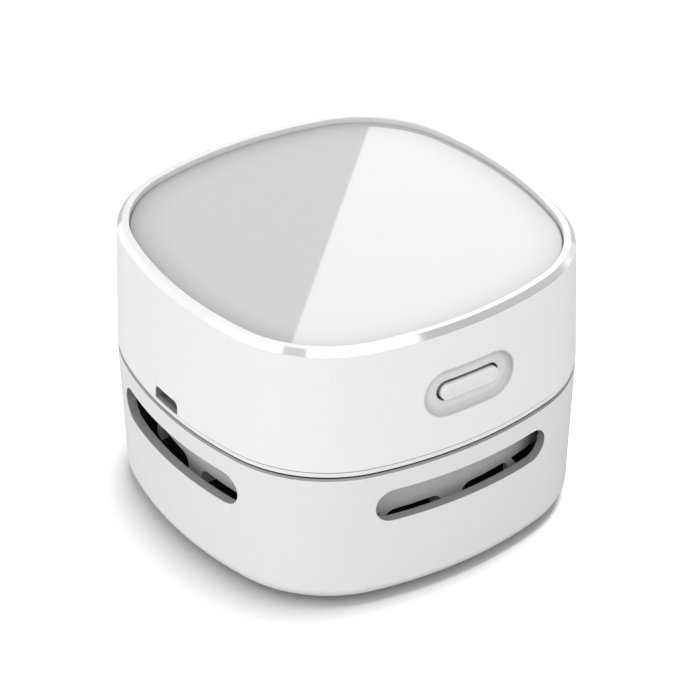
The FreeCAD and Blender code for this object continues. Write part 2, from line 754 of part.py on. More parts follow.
def chassis_plate():
    """Tray of the motor unit: its rim shows above the seam, and a spigot locates it in the tub."""
    rim = prism(BAND_INSET, CHASSIS_LOW, BAND_TOP)
    raised = prism(upper_inset(BAND_TOP) + WALL + 0.15, BAND_TOP, CHASSIS_TOP)
    spigot = ring(2.5, 3.9, SEAM_Z - 3, CHASSIS_LOW)
    pieces = [rim, raised, spigot]
    for x, y in guide_screw_places():
        pieces.append(rod(GUIDE_POST, BAND_TOP, CHASSIS_TOP + 3, x, y))
    for x, y in board_screw_places():
        pieces.append(rod(BOARD_POST, BAND_TOP, BOARD_LOW, x, y))
        block = box(-BOARD_POST, BOARD_POST, -BOARD_POST, BOARD_POST, BAND_TOP, BOARD_LOW)
        pieces.append(block.translated(Vector(x, -y, 0)))
    half = SWITCH_POST_HALF
    for side in (-1, 1):
        post = box(-half, half, SWITCH_BOARD_FRONT - 1.4, SWITCH_BOARD_FRONT + 2.6, BAND_TOP, BUTTON_Z)
        pieces.append(post.translated(Vector(side * SWITCH_POST_X, 0, 0)))
    plate = joined(pieces)
    holes = [rod(CAN_RADIUS + 1.0, CHASSIS_LOW - 1, CHASSIS_TOP + 1)]
    for x, y in guide_screw_places():
        holes.append(rod(GUIDE_SHANK, CHASSIS_LOW - 1, CHASSIS_TOP + 2.6, x, y))
    for x, y in board_screw_places():
        holes.append(rod(FINE_SHANK, BOARD_LOW - 2.6, BOARD_LOW + 1, x, y))
    for x, y in shell_screw_places():
        holes.append(rod(SHELL_SHANK + 0.3, CHASSIS_LOW - 1, CHASSIS_TOP + 1, x, y))
        holes.append(rod(SHELL_HEAD + 0.2, CHASSIS_LOW - 1, CHASSIS_LOW + 0.7, x, y))
    left = NOTCH_Y - NOTCH_WIDTH / 2
    right = left + NOTCH_WIDTH
    holes.append(box(-HALF - 1, -POCKET_BACK, left, right, BAND_TOP, CHASSIS_TOP + 1))
    holes.append(box(-POCKET_FRONT, -POCKET_BACK, left, right, BAND_TOP - POCKET_DEPTH, CHASSIS_TOP + 1))
    holes.append(switch_board())
    return plate.cut(holes)


def seam_gasket():
    """Rubber ring between the tub's top edge and the chassis."""
    outer = lower_inset(SEAM_Z) + GASKET_INSET
    return ring(outer, outer + GASKET_WIDTH, SEAM_Z, CHASSIS_LOW)


# ---------------------------------------------------------------- upper shell

def dish_tool():
    """Tool for the button's dish, which follows the bow of the side. A round joins its floor and sides."""
    low = BUTTON_Z - DISH_HEIGHT
    high = BUTTON_Z + DISH_HEIGHT
    core = drafted(upper_inset(low) + DISH_DEPTH, low, upper_inset(high) + DISH_DEPTH, high)
    bar = stadium(DISH_LENGTH, DISH_HEIGHT, BUTTON_Z, -HALF - 2, -HALF + 4)
    return rounded(bar.cut(core), DISH_FILLET, lambda edge: edge.BoundBox.YMin > -HALF + 0.2)


def upper_shell():
    """Drafted cover with the lid's deck, screw bosses, the button's dish and the charging notch."""
    low = BAND_TOP + SHADOW_STEP
    high = BODY_HEIGHT - RIM_BEVEL_HEIGHT
    deck_low = RIM_SEAT_Z - DECK_TOP_THICK
    outer = drafted(upper_inset(low), low, upper_inset(high), high)
    cavity = drafted(upper_inset(low - 1) + WALL, low - 1, upper_inset(deck_low) + WALL, deck_low)
    recess = prism(RIM_LEG_INSET, RIM_SEAT_Z, high + 1)
    shell = outer.cut([cavity, recess])
    pieces = [shell]
    rib_keep = prism(1.5, CHASSIS_TOP + 6, deck_low + 0.5)
    for x, y in shell_screw_places():
        pieces.append(rod(3.2, CHASSIS_TOP, deck_low + 0.5, x, y))
        reach = math.copysign(HALF, x)
        rib = box(min(x, reach), max(x, reach), y - 0.6, y + 0.6, CHASSIS_TOP, deck_low + 0.5)
        pieces.append(rib.common(rib_keep))
    inner_face = button_face() + BUTTON_WALL
    grown = 2 * BUTTON_FLANGE
    pieces.append(stadium(DISH_LENGTH + grown, DISH_HEIGHT + grown, BUTTON_Z, WALL - HALF, inner_face))
    shell = joined(pieces)
    notch = box(-HALF - 1, -HALF + 6, 0, NOTCH_WIDTH, low - 1, BAND_TOP + NOTCH_HEIGHT)
    notch.translate(ALONG_Y * (NOTCH_Y - NOTCH_WIDTH / 2))
    notch = rounded(
        notch,
        NOTCH_CORNER,
        lambda edge: level(BAND_TOP + NOTCH_HEIGHT)(edge) and edge.BoundBox.YLength < 0.1,
    )
    hole = stadium(
        BUTTON_LENGTH + 2 * BUTTON_GAP, BUTTON_HEIGHT + 2 * BUTTON_GAP, BUTTON_Z, -HALF - 1, -HALF + 8
    )
    tools = [dish_tool(), hole, notch]
    for x, y in shell_screw_places():
        tools.append(rod(SHELL_SHANK, CHASSIS_TOP - 1, CHASSIS_TOP + 8, x, y))
    return shell.cut(tools)


def shell_screws():
    size = (SHELL_HEAD, SHELL_HEAD_HEIGHT, SHELL_SHANK)
    return [pan_screw(x, y, CHASSIS_LOW + 0.7, CHASSIS_TOP + 6, *size) for x, y in shell_screw_places()]


def trim_ring():
    """Bevelled bright rim with a leg that drops beside the lid."""
    shoulder = BODY_HEIGHT - RIM_BEVEL_HEIGHT
    edge_inset = upper_inset(shoulder)
    cap = drafted(edge_inset, shoulder, edge_inset + RIM_BEVEL_WIDTH, BODY_HEIGHT)
    leg = prism(RIM_LEG_INSET + 0.02, RIM_SEAT_Z, shoulder + 0.5)
    return cap.fuse(leg).removeSplitter().cut(prism(RIM_LAND_INSET, RIM_SEAT_Z - 1, BODY_HEIGHT + 1))


def top_panel():
    lid = prism(RIM_LAND_INSET + LID_GAP, RIM_SEAT_Z, LID_TOP)
    return broken(lid, 0.2, level(LID_TOP))


# ---------------------------------------------------------------- button

def button_face():
    """The y of the dish's floor in front of the button."""
    return -(HALF - upper_inset(BUTTON_Z)) + DISH_DEPTH


def power_button():
    """Slot-shaped cap with a crowned edge, a flange behind the wall and a stem."""
    front = button_face() - BUTTON_PROUD
    pad = button_face() + BUTTON_WALL
    grown = 2 * BUTTON_FLANGE
    cap = stadium(BUTTON_LENGTH, BUTTON_HEIGHT, BUTTON_Z, front, pad + 0.6)
    cap = broken(cap, 0.3, lambda edge: edge.BoundBox.YMax < front + 0.01)
    flange = stadium(BUTTON_LENGTH + grown, BUTTON_HEIGHT + grown, BUTTON_Z, pad + 0.1, pad + 0.8)
    stem = Part.makeCylinder(STEM_RADIUS, STEM_LENGTH, Vector(0, pad + 0.8, BUTTON_Z), ALONG_Y)
    return joined([cap, flange, stem])


def switch_plunger():
    """Short pin between the button's stem and the dome of the switch."""
    start = button_face() + BUTTON_WALL + 2 * STEM_LENGTH
    return Part.makeCylinder(PLUNGER_RADIUS, PLUNGER_LENGTH, Vector(0, start, BUTTON_Z), ALONG_Y)


def switch_board():
    half = SWITCH_BOARD_HALF
    back = SWITCH_BOARD_FRONT + BOARD_THICK
    return box(-half, half, SWITCH_BOARD_FRONT, back, SWITCH_BOARD_LOW, BUTTON_Z + 6)


def tact_switch():
    """Square switch body with the bore that the plunger slides in."""
    half = SWITCH_HALF
    body = box(-half, half, SWITCH_FRONT, SWITCH_BOARD_FRONT, BUTTON_Z - half, BUTTON_Z + half)
    bore = Part.makeCylinder(PLUNGER_RADIUS + 0.08, 2.6, Vector(0, SWITCH_FRONT - 1, BUTTON_Z), ALONG_Y)
    return body.cut(bore)


# ---------------------------------------------------------------- electrics

def battery_cell():
    """Cylindrical lithium cell lying along Y, with its positive button."""
    can = Part.makeCylinder(
        BATTERY_RADIUS, 2 * BATTERY_HALF, Vector(BATTERY_X, -BATTERY_HALF, BATTERY_Z), ALONG_Y
    )
    button = Part.makeCylinder(2.6, BATTERY_NUB, Vector(BATTERY_X, BATTERY_HALF, BATTERY_Z), ALONG_Y)
    return can.fuse(button).removeSplitter()


def battery_cradle():
    """Open saddle under the cell, on three feet."""
    start = Vector(BATTERY_X, -18.0, BATTERY_Z)
    outer = Part.makeCylinder(BATTERY_RADIUS + 1.2, 36.0, start, ALONG_Y)
    low_half = box(BATTERY_X - 7.0, BATTERY_X + 7.0, -21, 21, CHASSIS_TOP - 1, BATTERY_Z - 3.0)
    saddle = outer.common(low_half)
    feet = []
    for y in (-15.0, 0.0, 15.0):
        feet.append(box(BATTERY_X - 6.0, BATTERY_X + 6.0, y - 1.2, y + 1.2, CHASSIS_TOP, BATTERY_Z - 4.4))
    cradle = joined([saddle] + feet)
    cradle = cradle.cut(Part.makeCylinder(BATTERY_RADIUS + 0.02, 44.0, start - ALONG_Y * 2, ALONG_Y))
    return cradle.cut(box(-60, 60, -30, 30, 0, CHASSIS_TOP))


def battery_tabs():
    """Nickel strips welded to the cell's ends."""
    strips = []
    for low in (-BATTERY_HALF - 0.2, BATTERY_HALF + BATTERY_NUB):
        strips.append(box(BATTERY_X - 2, BATTERY_X + 2, low, low + 0.2, BATTERY_Z - 2, TAB_TOP))
    return strips


def circuit_board():
    board = box(BOARD_BACK, BOARD_FRONT, -BOARD_HALF, BOARD_HALF, BOARD_LOW, BOARD_LOW + BOARD_THICK)
    hole = rod(FINE_SHANK + 0.2, BOARD_LOW - 1, BOARD_LOW + 3)
    return board.cut([hole.translated(Vector(x, y, 0)) for x, y in board_screw_places()])


def board_screws():
    seat = BOARD_LOW + BOARD_THICK
    size = (FINE_HEAD, FINE_HEAD_HEIGHT, FINE_SHANK)
    return [pan_screw(x, y, seat, BOARD_LOW - 2.4, *size) for x, y in board_screw_places()]


def board_components():
    """Charge controller, inductor, capacitor and connectors on the upper face of the board."""
    top = BOARD_LOW + BOARD_THICK
    chip = box(-30.0, -25.0, -2.0, 2.0, top, top + 1.4)
    choke = rod(3.0, top, top + 3.0, -21.0, 3.5)
    capacitor = rod(2.5, top, top + 6.0, -31.0, 6.5)
    motor_plug = box(-22.5, -16.5, -9.5, -5.5, top, PLUG_TOP)
    battery_plug = box(-25.5, -19.5, 8.2, 12.2, top, PLUG_TOP)
    return [chip, choke, capacitor, motor_plug, battery_plug]


def usb_socket():
    """Drawn steel socket shell, open towards -X, with canted lower corners."""
    high = BOARD_LOW
    low = high - SOCKET_HEIGHT
    half = SOCKET_WIDTH / 2

    def section(grow):
        corners = [
            (half - grow, high - grow),
            (half - grow, low + 1.0 + grow * 0.4),
            (half - 0.9 - grow * 0.4, low + grow),
            (-half + 0.9 + grow * 0.4, low + grow),
            (-half + grow, low + 1.0 + grow * 0.4),
            (-half + grow, high - grow),
        ]
        points = [Vector(SOCKET_FRONT, NOTCH_Y + y, z) for y, z in corners]
        return Part.Face(Part.makePolygon(points + points[:1]))

    bore = section(0.3).extrude(ALONG_X * (SOCKET_DEPTH - 0.5))
    return section(0).extrude(ALONG_X * SOCKET_DEPTH).cut(bore)


def usb_tongue():
    middle = BOARD_LOW - SOCKET_HEIGHT / 2
    back = SOCKET_FRONT + SOCKET_DEPTH - 0.5
    return box(SOCKET_FRONT + 0.6, back, NOTCH_Y - 1.9, NOTCH_Y + 1.9, middle - 0.35, middle + 0.35)


def lead(*stops):
    """Insulated wire through its stops, with an arc at every bend. Its section has four flats."""
    points = [Vector(*stop) for stop in stops]
    edges = []
    start = points[0]
    for before, corner, after in zip(points, points[1:], points[2:]):
        inward = (corner - before).normalize()
        outward = (after - corner).normalize()
        half_turn = inward.getAngle(outward) / 2
        room = min((corner - before).Length, (after - corner).Length) * 0.45
        bend = min(LEAD_BEND, room / math.tan(half_turn))
        cut_back = bend * math.tan(half_turn)
        middle = corner + (outward - inward).normalize() * (bend / math.cos(half_turn) - bend)
        edges.append(Part.LineSegment(start, corner - inward * cut_back).toShape())
        edges.append(Part.Arc(corner - inward * cut_back, middle, corner + outward * cut_back).toShape())
        start = corner + outward * cut_back
    edges.append(Part.LineSegment(start, points[-1]).toShape())
    profile = polygon(LEAD_RADIUS, 4)
    profile.Placement = FreeCAD.Placement(points[0], FreeCAD.Rotation(UP, points[1] - points[0]))
    return Part.Wire(edges).makePipeShell([profile], True, False)


def motor_leads():
    """Two wires from the motor's terminals to their plug on the board, one crossing over the other."""
    near_height = TERMINAL_TOP + 1.6
    far_height = TERMINAL_TOP + 3.0
    near = lead(
        (-TERMINAL_X, 0, TERMINAL_TOP),
        (-TERMINAL_X, 0, near_height),
        (-18.2, -7.5, near_height),
        (-18.2, -7.5, PLUG_TOP),
    )
    far = lead(
        (TERMINAL_X, 0, TERMINAL_TOP),
        (TERMINAL_X, 0, far_height),
        (-20.6, -7.5, far_height),
        (-20.6, -7.5, PLUG_TOP),
    )
    return [near, far]


def battery_leads():
    """Two wires from the cell's tabs to their plug, one round the motor and one over it."""
    rear_y = BATTERY_HALF + BATTERY_NUB + 0.1
    front_y = -BATTERY_HALF - 0.1
    round_height = TAB_TOP + 2.9
    over_height = TERMINAL_TOP + 4.4
    positive = lead(
        (BATTERY_X, rear_y, TAB_TOP),
        (BATTERY_X, rear_y, round_height),
        (-21.2, rear_y, round_height),
        (-21.2, 10.2, round_height),
        (-21.2, 10.2, PLUG_TOP),
    )
    negative = lead(
        (BATTERY_X, front_y, TAB_TOP),
        (BATTERY_X, front_y, over_height),
        (-23.8, 10.2, over_height),
        (-23.8, 10.2, PLUG_TOP),
    )
    return [positive, negative]


def switch_leads():
    """Two wires from the back of the switch board down to the main board."""
    wires = []
    for number in range(2):
        step = 2.2 * number
        height = 42.0 + step
        wires.append(lead(
            (-2.0 - step, -31.4, height),
            (-2.0 - step, -27.0 - step / 2, height),
            (-22.0 - step, -13.6, height),
            (-22.0 - step, -13.6, BOARD_LOW + BOARD_THICK),
        ))
    return wires


# ---------------------------------------------------------------- output

def save(name, shape):
    """Writes one node. A list is a group of separate solids."""
    if isinstance(shape, list):
        shape = Part.makeCompound(shape)
    if not shape.isValid():
        raise RuntimeError(name + " is not a valid shape")
    shape.exportStep("parts/" + name + ".step")
    print(name, len(shape.Solids), round(shape.Volume, 1))


def main():
    os.makedirs("parts", exist_ok=True)
    save("lower_shell", lower_shell())
    for number, (x, y) in enumerate(foot_places(), start=1):
        save("foot_pad_" + str(number), foot_pad(x, y))
    save("intake_nozzle", intake_nozzle())
    save("nozzle_screws", nozzle_screws())
    save("brush_carrier", brush_carrier())
    save("bristle_tufts", bristle_tufts())
    save("filter_frame", filter_frame())
    save("filter_mesh", filter_mesh())
    save("air_guide", air_guide())
    save("guide_screws", guide_screws())
    save("inlet_plate", inlet_plate())
    save("inlet_screws", inlet_screws())
    save("motor_can", motor_can())
    save("motor_end_cap", motor_end_cap())
    save("motor_magnets", motor_magnets())
    save("front_bushing", bushing(DECK_LOW + 0.2, CAN_BASE + 1))
    save("rear_bushing", bushing(CAN_TOP - 0.6, CAN_TOP + 1.6))
    save("motor_terminals", motor_terminals())
    save("carbon_brushes", carbon_brushes())
    save("motor_screws", motor_screws())
    save("motor_shaft", motor_shaft())
    save("armature_core", armature_core())
    save("armature_windings", armature_windings())
    save("commutator", commutator())
    save("impeller", impeller())
    save("chassis_plate", chassis_plate())
    save("seam_gasket", seam_gasket())
    save("upper_shell", upper_shell())
    save("shell_screws", shell_screws())
    save("trim_ring", trim_ring())
    save("top_panel", top_panel())
    save("power_button", power_button())
    save("switch_plunger", switch_plunger())
    save("switch_board", switch_board())
    save("tact_switch", tact_switch())
    save("battery_cell", battery_cell())
    save("battery_cradle", battery_cradle())
    save("battery_tabs", battery_tabs())
    save("circuit_board", circuit_board())
    save("board_screws", board_screws())
    save("board_components", board_components())
    save("usb_socket", usb_socket())
    save("usb_tongue", usb_tongue())
    save("motor_leads", motor_leads())
    save("battery_leads", battery_leads())
    save("switch_leads", switch_leads())


main()
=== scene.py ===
import random
from math import atan2, cos, pi, radians, sin, sqrt, tan, tau

import bmesh
import bpy
from bpy.types import Operator, PropertyGroup
from mathutils import Matrix, Vector


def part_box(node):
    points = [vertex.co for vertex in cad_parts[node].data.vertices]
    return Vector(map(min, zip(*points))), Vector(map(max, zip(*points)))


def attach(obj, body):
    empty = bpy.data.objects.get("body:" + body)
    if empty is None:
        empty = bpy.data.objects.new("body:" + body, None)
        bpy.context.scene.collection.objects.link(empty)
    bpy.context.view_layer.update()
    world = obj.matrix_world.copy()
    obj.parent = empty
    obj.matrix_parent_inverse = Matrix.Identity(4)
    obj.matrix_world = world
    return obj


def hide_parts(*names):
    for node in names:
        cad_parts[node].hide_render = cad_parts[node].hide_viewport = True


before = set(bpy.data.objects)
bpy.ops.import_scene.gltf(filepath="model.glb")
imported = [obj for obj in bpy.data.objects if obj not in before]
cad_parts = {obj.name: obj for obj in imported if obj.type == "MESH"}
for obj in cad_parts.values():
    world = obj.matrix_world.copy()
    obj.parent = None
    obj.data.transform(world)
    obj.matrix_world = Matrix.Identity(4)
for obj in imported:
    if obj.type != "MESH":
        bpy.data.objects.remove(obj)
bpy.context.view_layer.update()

# Looks of a desktop mini vacuum cleaner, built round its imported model.
# Meshes are drawn in millimetres, and finished() puts them into the frame's metres.
# "inset" is a distance inward from the widest plan outline of the body.

bl_info = {
    "name": "Desktop Mini Vacuum",
    "version": (1, 0, 0),
    "blender": (4, 5, 0),
    "location": "3D View > Sidebar > Mini Vacuum",
    "description": "Finishes, rounded edges, brush, filter cloth and screws of a desktop mini vacuum",
    "category": "Object",
}

MM = 0.001
SEED = 7

# ---- shape of the body, in millimetres
HALF_WIDTH = 42.5
SIDE_RADIUS = 83.3         # of the bowed sides
CORNER_RADIUS = 26.8
ARC_STEPS = 20             # facets along each side and each corner
SEAM = 31.4                # height of the tub's top edge
BOTTOM_ROUND = 3.0         # radius of the round edge under the tub
DISH_REACH = 5.4           # from the dish's middle to the centre of either round end
DISH_RADIUS = 5.0
DISH_DEPTH = 1.0
DISH_LIP = 0.4             # round edge of the dish
SHADE_BEGINS = 0.05             # depth inside an edge at which the painted shade begins
SHADE_FULL = 0.17           # and at which it is full


def low(node):
    """Lowest corner of a node, in millimetres."""
    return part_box(node)[0] / MM


def high(node):
    """Highest corner of a node, in millimetres."""
    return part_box(node)[1] / MM


def heights(node):
    """Bottom and top of a node, in millimetres."""
    return low(node).z, high(node).z


# ---- what a user would change

def linear(code):
    """Linear red, green and blue of an sRGB hex code."""
    channels = []
    for start in (0, 2, 4):
        value = int(code[start:start + 2], 16) / 255
        channels.append(value / 12.92 if value <= 0.04045 else ((value + 0.055) / 1.055) ** 2.4)
    return channels


def colour(name, code, description):
    return bpy.props.FloatVectorProperty(
        name=name, description=description, subtype="COLOR", size=3, min=0, max=1, default=linear(code)
    )


def amount(name, default, description, **settings):
    return bpy.props.FloatProperty(name=name, default=default, description=description, **settings)


def length(name, millimetres, description):
    return amount(name, millimetres * MM, description, min=0, unit="LENGTH", precision=5)


class VACUUM_PG_sizes(PropertyGroup):
    shell_edge: length("Shell edge", 0.25, "Round on the edges of the white mouldings")
    inner_edge: length("Inner edge", 0.12, "Round on the edges of the inner pieces")
    rim_edge: length("Rim edge", 0.2, "Round on the plated rim")
    filament: length("Filament", 0.09, "Radius of a brush filament")
    thread_pitch: length("Thread pitch", 1.0, "Spacing of the filter's threads")
    wire: length("Wire", 0.58, "Radius of an insulated wire")


class VACUUM_PG_colours(PropertyGroup):
    cover: colour("Cover", "F0F0F0", "White paint of the cover and the band at the seam")
    # painted shade: the tub's white is set darker than the cover's, standing in for the shade near the
    # floor
    tub: colour("Tub", "E8E8E8", "White paint of the tub, a shade duller")
    # painted shade: this grey stands in for the shade inside the openings, the seams and the gap round the
    # button
    under: colour("Bare ABS", "8F8F8F", "Grey ABS under the white paint")
    lid: colour("Lid", "BFBFBF", "Paint behind the clear sheet of the lid")
    rim: colour("Rim", "F2F2F3", "Bright plating of the rim's bevel")
    land: colour("Rim land", "DADADB", "Silver paint on the rim's top and inner wall")
    button: colour("Button", "EAEAEA", "White paint of the button")
    guide: colour("Guide", "D2D2D2", "Grey ABS of the air guide, the nozzle and the cradle")
    dark: colour("Dark parts", "1B1B1C", "Black ABS of the fan, filter frame and brush ring")
    rubber: colour("Rubber", "2A2A2B", "Foot pads and gasket")
    cloth: colour("Filter cloth", "D6D7D8", "Nylon threads of the filter")
    wrap: colour("Cell wrap", "3E6FA3", "Shrink film of the cell")
    board: colour("Boards", "17603A", "Solder mask of the circuit boards")
    wire: colour("Wires", "B3221D", "Insulation of the wires")


class VACUUM_PG_stage(PropertyGroup):
    azimuth: amount("Azimuth", radians(-34.85), "Camera's bearing: 0 looks along +Y", subtype="ANGLE")
    elevation: amount("Elevation", radians(33.86), "Camera's angle over the horizon", subtype="ANGLE")
    distance: length("Distance", 660.7, "From the middle of the body's foot to the camera")
    lens: amount("Lens", 164.18, "Focal length in millimetres on a 36 mm sensor")
    sideways: length("Sideways", 0.9, "Shift of the camera across its view")
    raised: length("Raised", 24.04, "Shift of the camera up its view")
    sky: amount("Sky", 1.14, "Brightness near the horizon")
    floor_lamp: amount("Floor lamp", 6.6, "Strength of the floor's softbox")
    card: amount("Card", 4.2, "Brightness of the card that the lid reflects")


def sizes():
    return bpy.context.scene.vacuum_sizes


def colours():
    return bpy.context.scene.vacuum_colours


# ---- meshes

def crossed(places):
    """The (x, y) points turned about the middle into all four quarters."""
    turns = [Matrix.Rotation(quarter * pi / 2, 2) for quarter in range(4)]
    return [turn @ Vector(place) for turn in turns for place in places]


def plan_arcs():
    """The arcs of the +X side and of the corner after it: centre, radius, first angle and sweep."""
    side = HALF_WIDTH - SIDE_RADIUS
    reach = SIDE_RADIUS - CORNER_RADIUS
    corner = (side + sqrt(2 * reach ** 2 - side ** 2)) / 2
    tangent = atan2(corner, corner - side)
    return (
        (side, 0, SIDE_RADIUS, -tangent, 2 * tangent),
        (corner, corner, CORNER_RADIUS, tangent, pi / 2 - 2 * tangent),
    )


def plan(inset):
    """The body's rounded-square outline as (x, y) points, anticlockwise from the start of its +X side."""
    points = []
    for x, y, radius, start, sweep in plan_arcs():
        arm = radius - inset
        for step in range(ARC_STEPS):
            angle = start + sweep * step / ARC_STEPS
            points.append((x + arm * cos(angle), y + arm * sin(angle)))
    return crossed(points)


def plan_loop(inset, z):
    return [Vector((x, y, z)) for x, y in plan(inset)]


def circle_loop(radius, z, centre=(0, 0), steps=32):
    x, y = centre
    angles = [tau * step / steps for step in range(steps)]
    return [Vector((x + radius * cos(angle), y + radius * sin(angle), z)) for angle in angles]


def quarter_arc(steps):
    """Cosine and sine at even steps from 0 to 90 degrees."""
    angles = [pi / 2 * step / steps for step in range(steps + 1)]
    return [(cos(angle), sin(angle)) for angle in angles]


def slot_loop(length, height, inset, y, z, steps=12):
    """Upright slot outline with round ends, facing -Y."""
    reach = (length - height) / 2
    radius = height / 2 - inset
    points = []
    for end in (1, -1):
        for step in range(steps + 1):
            angle = pi * (step / steps - 0.5)
            x = reach + radius * cos(angle)
            points.append(Vector((end * x, y, z + end * radius * sin(angle))))
    return points


def eased(corners, steps=4):
    """A closed profile through (across, up, radius) corners, each rounded to its radius."""
    points = []
    count = len(corners)
    for index, (across, up, radius) in enumerate(corners):
        corner = Vector((across, up))
        if not radius:
            points.append(corner)
            continue
        inward = (Vector(corners[index - 1][:2]) - corner).normalized()
        onward = (Vector(corners[(index + 1) % count][:2]) - corner).normalized()
        half = inward.angle(onward) / 2
        middle = corner + (inward + onward).normalized() * radius / sin(half)
        first = (corner + inward * radius / tan(half) - middle).normalized()
        last = (corner + onward * radius / tan(half) - middle).normalized()
        for step in range(steps + 1):
            points.append(middle + radius * first.slerp(last, step / steps))
    return points


def lofted(bm, loops, ends=True, around=False):
    """Skins point loops in order. ends closes both ends, and around joins the last loop to the first."""
    rings = [[bm.verts.new(point) for point in loop] for loop in loops]
    pairs = list(zip(rings, rings[1:]))
    if around:
        pairs.append((rings[-1], rings[0]))
    for near, far in pairs:
        for index in range(len(near)):
            bm.faces.new((near[index - 1], near[index], far[index], far[index - 1]))
    if ends and not around:
        bm.faces.new(rings[0])
        bm.faces.new(rings[-1])
    return rings


def marked_loft(bm, mark, loops, values, around=False):
    """Skins point loops, each with its own value of the mark, an attribute that the material reads."""
    layer = bm.verts.layers.float.new(mark)
    for ring, value in zip(lofted(bm, loops, around=around), values):
        for vert in ring:
            vert[layer] = value


def tube(bm, stations, radii, steps, flat=1.0):
    """A tube through its stations, with a radius at each, squeezed upwards by flat."""
    angles = [tau * (step + 0.5) / steps for step in range(steps)]
    loops = []
    for index, (here, radius) in enumerate(zip(stations, radii)):
        before = stations[max(index - 1, 0)]
        after = stations[min(index + 1, len(stations) - 1)]
        turn = (after - before).to_track_quat("Z", "Y")
        ring = [Vector((radius * cos(angle), radius * flat * sin(angle), 0)) for angle in angles]
        loops.append([here + turn @ point for point in ring])
    lofted(bm, loops)


def placed(name, data):
    """A new object in the scene, round a mesh, a light or a camera."""
    item = bpy.data.objects.new(name, data)
    bpy.context.scene.collection.objects.link(item)
    return item


def drawn(name, bm, material):
    """A new object from a mesh drawn in millimetres."""
    bmesh.ops.scale(bm, vec=(MM, MM, MM), verts=bm.verts)
    bmesh.ops.recalc_face_normals(bm, faces=bm.faces)
    mesh = bpy.data.meshes.new(name)
    bm.to_mesh(mesh)
    bm.free()
    mesh.materials.append(material)
    return placed(name, mesh)


def finished(name, bm, body, slot, material, *nodes, sharp=radians(35)):
    """Makes a mesh drawn in millimetres into a piece that rides on a body and stands for CAD nodes."""
    piece = drawn(name, bm, material)
    piece.data.shade_smooth()
    piece.data.set_sharp_from_angle(angle=sharp)
    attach(piece, body)
    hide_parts(*nodes)
    return piece


def evened(piece):
    """Keeps broad faces flat to the eye beside their rounded edges."""
    normals = piece.modifiers.new("Broad faces first", "WEIGHTED_NORMAL")
    normals.keep_sharp = True


def dressed(edge, material, *names):
    """Finishes CAD nodes. If edge isn't 0, their facets are joined up and their sharp edges are rounded."""
    for name in names:
        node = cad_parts[name]
        for place in node.material_slots:
            place.material = material
        if not edge:
            continue
        weld = node.modifiers.new("Join facets", "WELD")
        weld.merge_threshold = 0.001 * MM
        bevel = node.modifiers.new("Rounded edges", "BEVEL")
        bevel.width = edge
        bevel.segments = 2
        bevel.limit_method = "ANGLE"
        bevel.angle_limit = radians(30)
        bevel.miter_outer = "MITER_SHARP"
        evened(node)


# ---- materials

WAVE_REPEAT = tau / 20    # a wave texture of scale 1 repeats after this length


def wire(tree, node, links):
    """Gives each named socket of a node its source or its value."""
    for name, source in links.items():
        if isinstance(name, int):
            socket = node.inputs[name]
        else:
            socket = next(entry for entry in node.inputs if entry.name == name and entry.enabled)
        if isinstance(source, bpy.types.Node):
            source = next(result for result in source.outputs if result.enabled)
        if isinstance(source, bpy.types.NodeSocket):
            tree.links.new(source, socket)
        else:
            socket.default_value = source


def add(tree, kind, links=None, **settings):
    """Adds a node, with its settings and with a source or a value for each of its sockets."""
    node = tree.nodes.new("ShaderNode" + kind)
    for name, value in settings.items():
        setattr(node, name, value)
    wire(tree, node, links or {})
    return node


def per(millimetres):
    """Texture scale whose features are that size."""
    return 1 / (millimetres * MM)


def started(name, constants=None):
    """A new material: its shader with those constants, its output, and the object's own coordinates."""
    material = bpy.data.materials.new(name)
    material.use_nodes = True
    tree = material.node_tree
    tree.nodes.clear()
    shader = add(tree, "BsdfPrincipled", constants)
    add(tree, "OutputMaterial", {"Surface": shader})
    return material, tree, shader, add(tree, "TexCoord").outputs["Object"]


def varied(tree, shader, pattern, base, spread, rough, rough_spread, relief):
    """Lets a pattern from 0 to 1 vary the shader's colour, roughness and height, about their means."""
    paint = base if isinstance(base, bpy.types.Node) else (*base, 1)
    value = add(tree, "MapRange", {"Value": pattern, "To Min": 1 - spread, "To Max": 1 + spread})
    tint = add(tree, "HueSaturation", {"Value": value, "Color": paint})
    limits = {"To Min": rough - rough_spread, "To Max": rough + rough_spread}
    gloss = add(tree, "MapRange", {"Value": pattern, **limits})
    bump = add(tree, "Bump", {"Height": pattern, "Distance": relief * MM})
    wire(tree, shader, {"Base Color": tint, "Roughness": gloss, "Normal": bump})


def grained(name, constants, base, size, detail, look, stretch=None):
    """A material with one grain, of that size in millimetres, drawn out along each axis as stretch says.
    look is its share in the tone, the roughness, its share in that, and its height in millimetres."""
    material, tree, shader, place = started(name, constants)
    if stretch:
        place = add(tree, "Mapping", {"Vector": place, "Scale": [1 / along for along in stretch]})
    grain = add(tree, "TexNoise", {"Vector": place, "Scale": per(size), "Detail": detail})
    varied(tree, shader, grain, base, *look)
    return material


def moulded_abs(name, base, rough):
    """ABS out of a spark-eroded mould: a satin skin whose grain spreads the highlights.
    The real grain is near 0.05 mm, and it is drawn coarser so that it shows."""
    return grained(name, {"IOR": 1.53}, base, 0.4, 3.0, (0.012, rough, 0.05, 0.003))


def sprayed_cap(name, base):
    """Gloss white paint, out of a polished mould: smooth, with a slow ripple from the shrinking.
    Where the cap enters the wall its colour turns grey: painted shade in the gap round the cap."""
    material, tree, shader, place = started(name, {"IOR": 1.53})
    painted_shade_mask = add(tree, "Attribute", attribute_name="painted_shade_mask")
    tones = {"Factor": painted_shade_mask.outputs["Fac"], "A": (*base, 1), "B": (*colours().under, 1)}
    coat = add(tree, "Mix", tones, data_type="RGBA")
    ripple = add(tree, "TexNoise", {"Vector": place, "Scale": per(4), "Detail": 1.0})
    varied(tree, shader, ripple, coat, 0.004, 0.24, 0.02, 0.002)
    return material


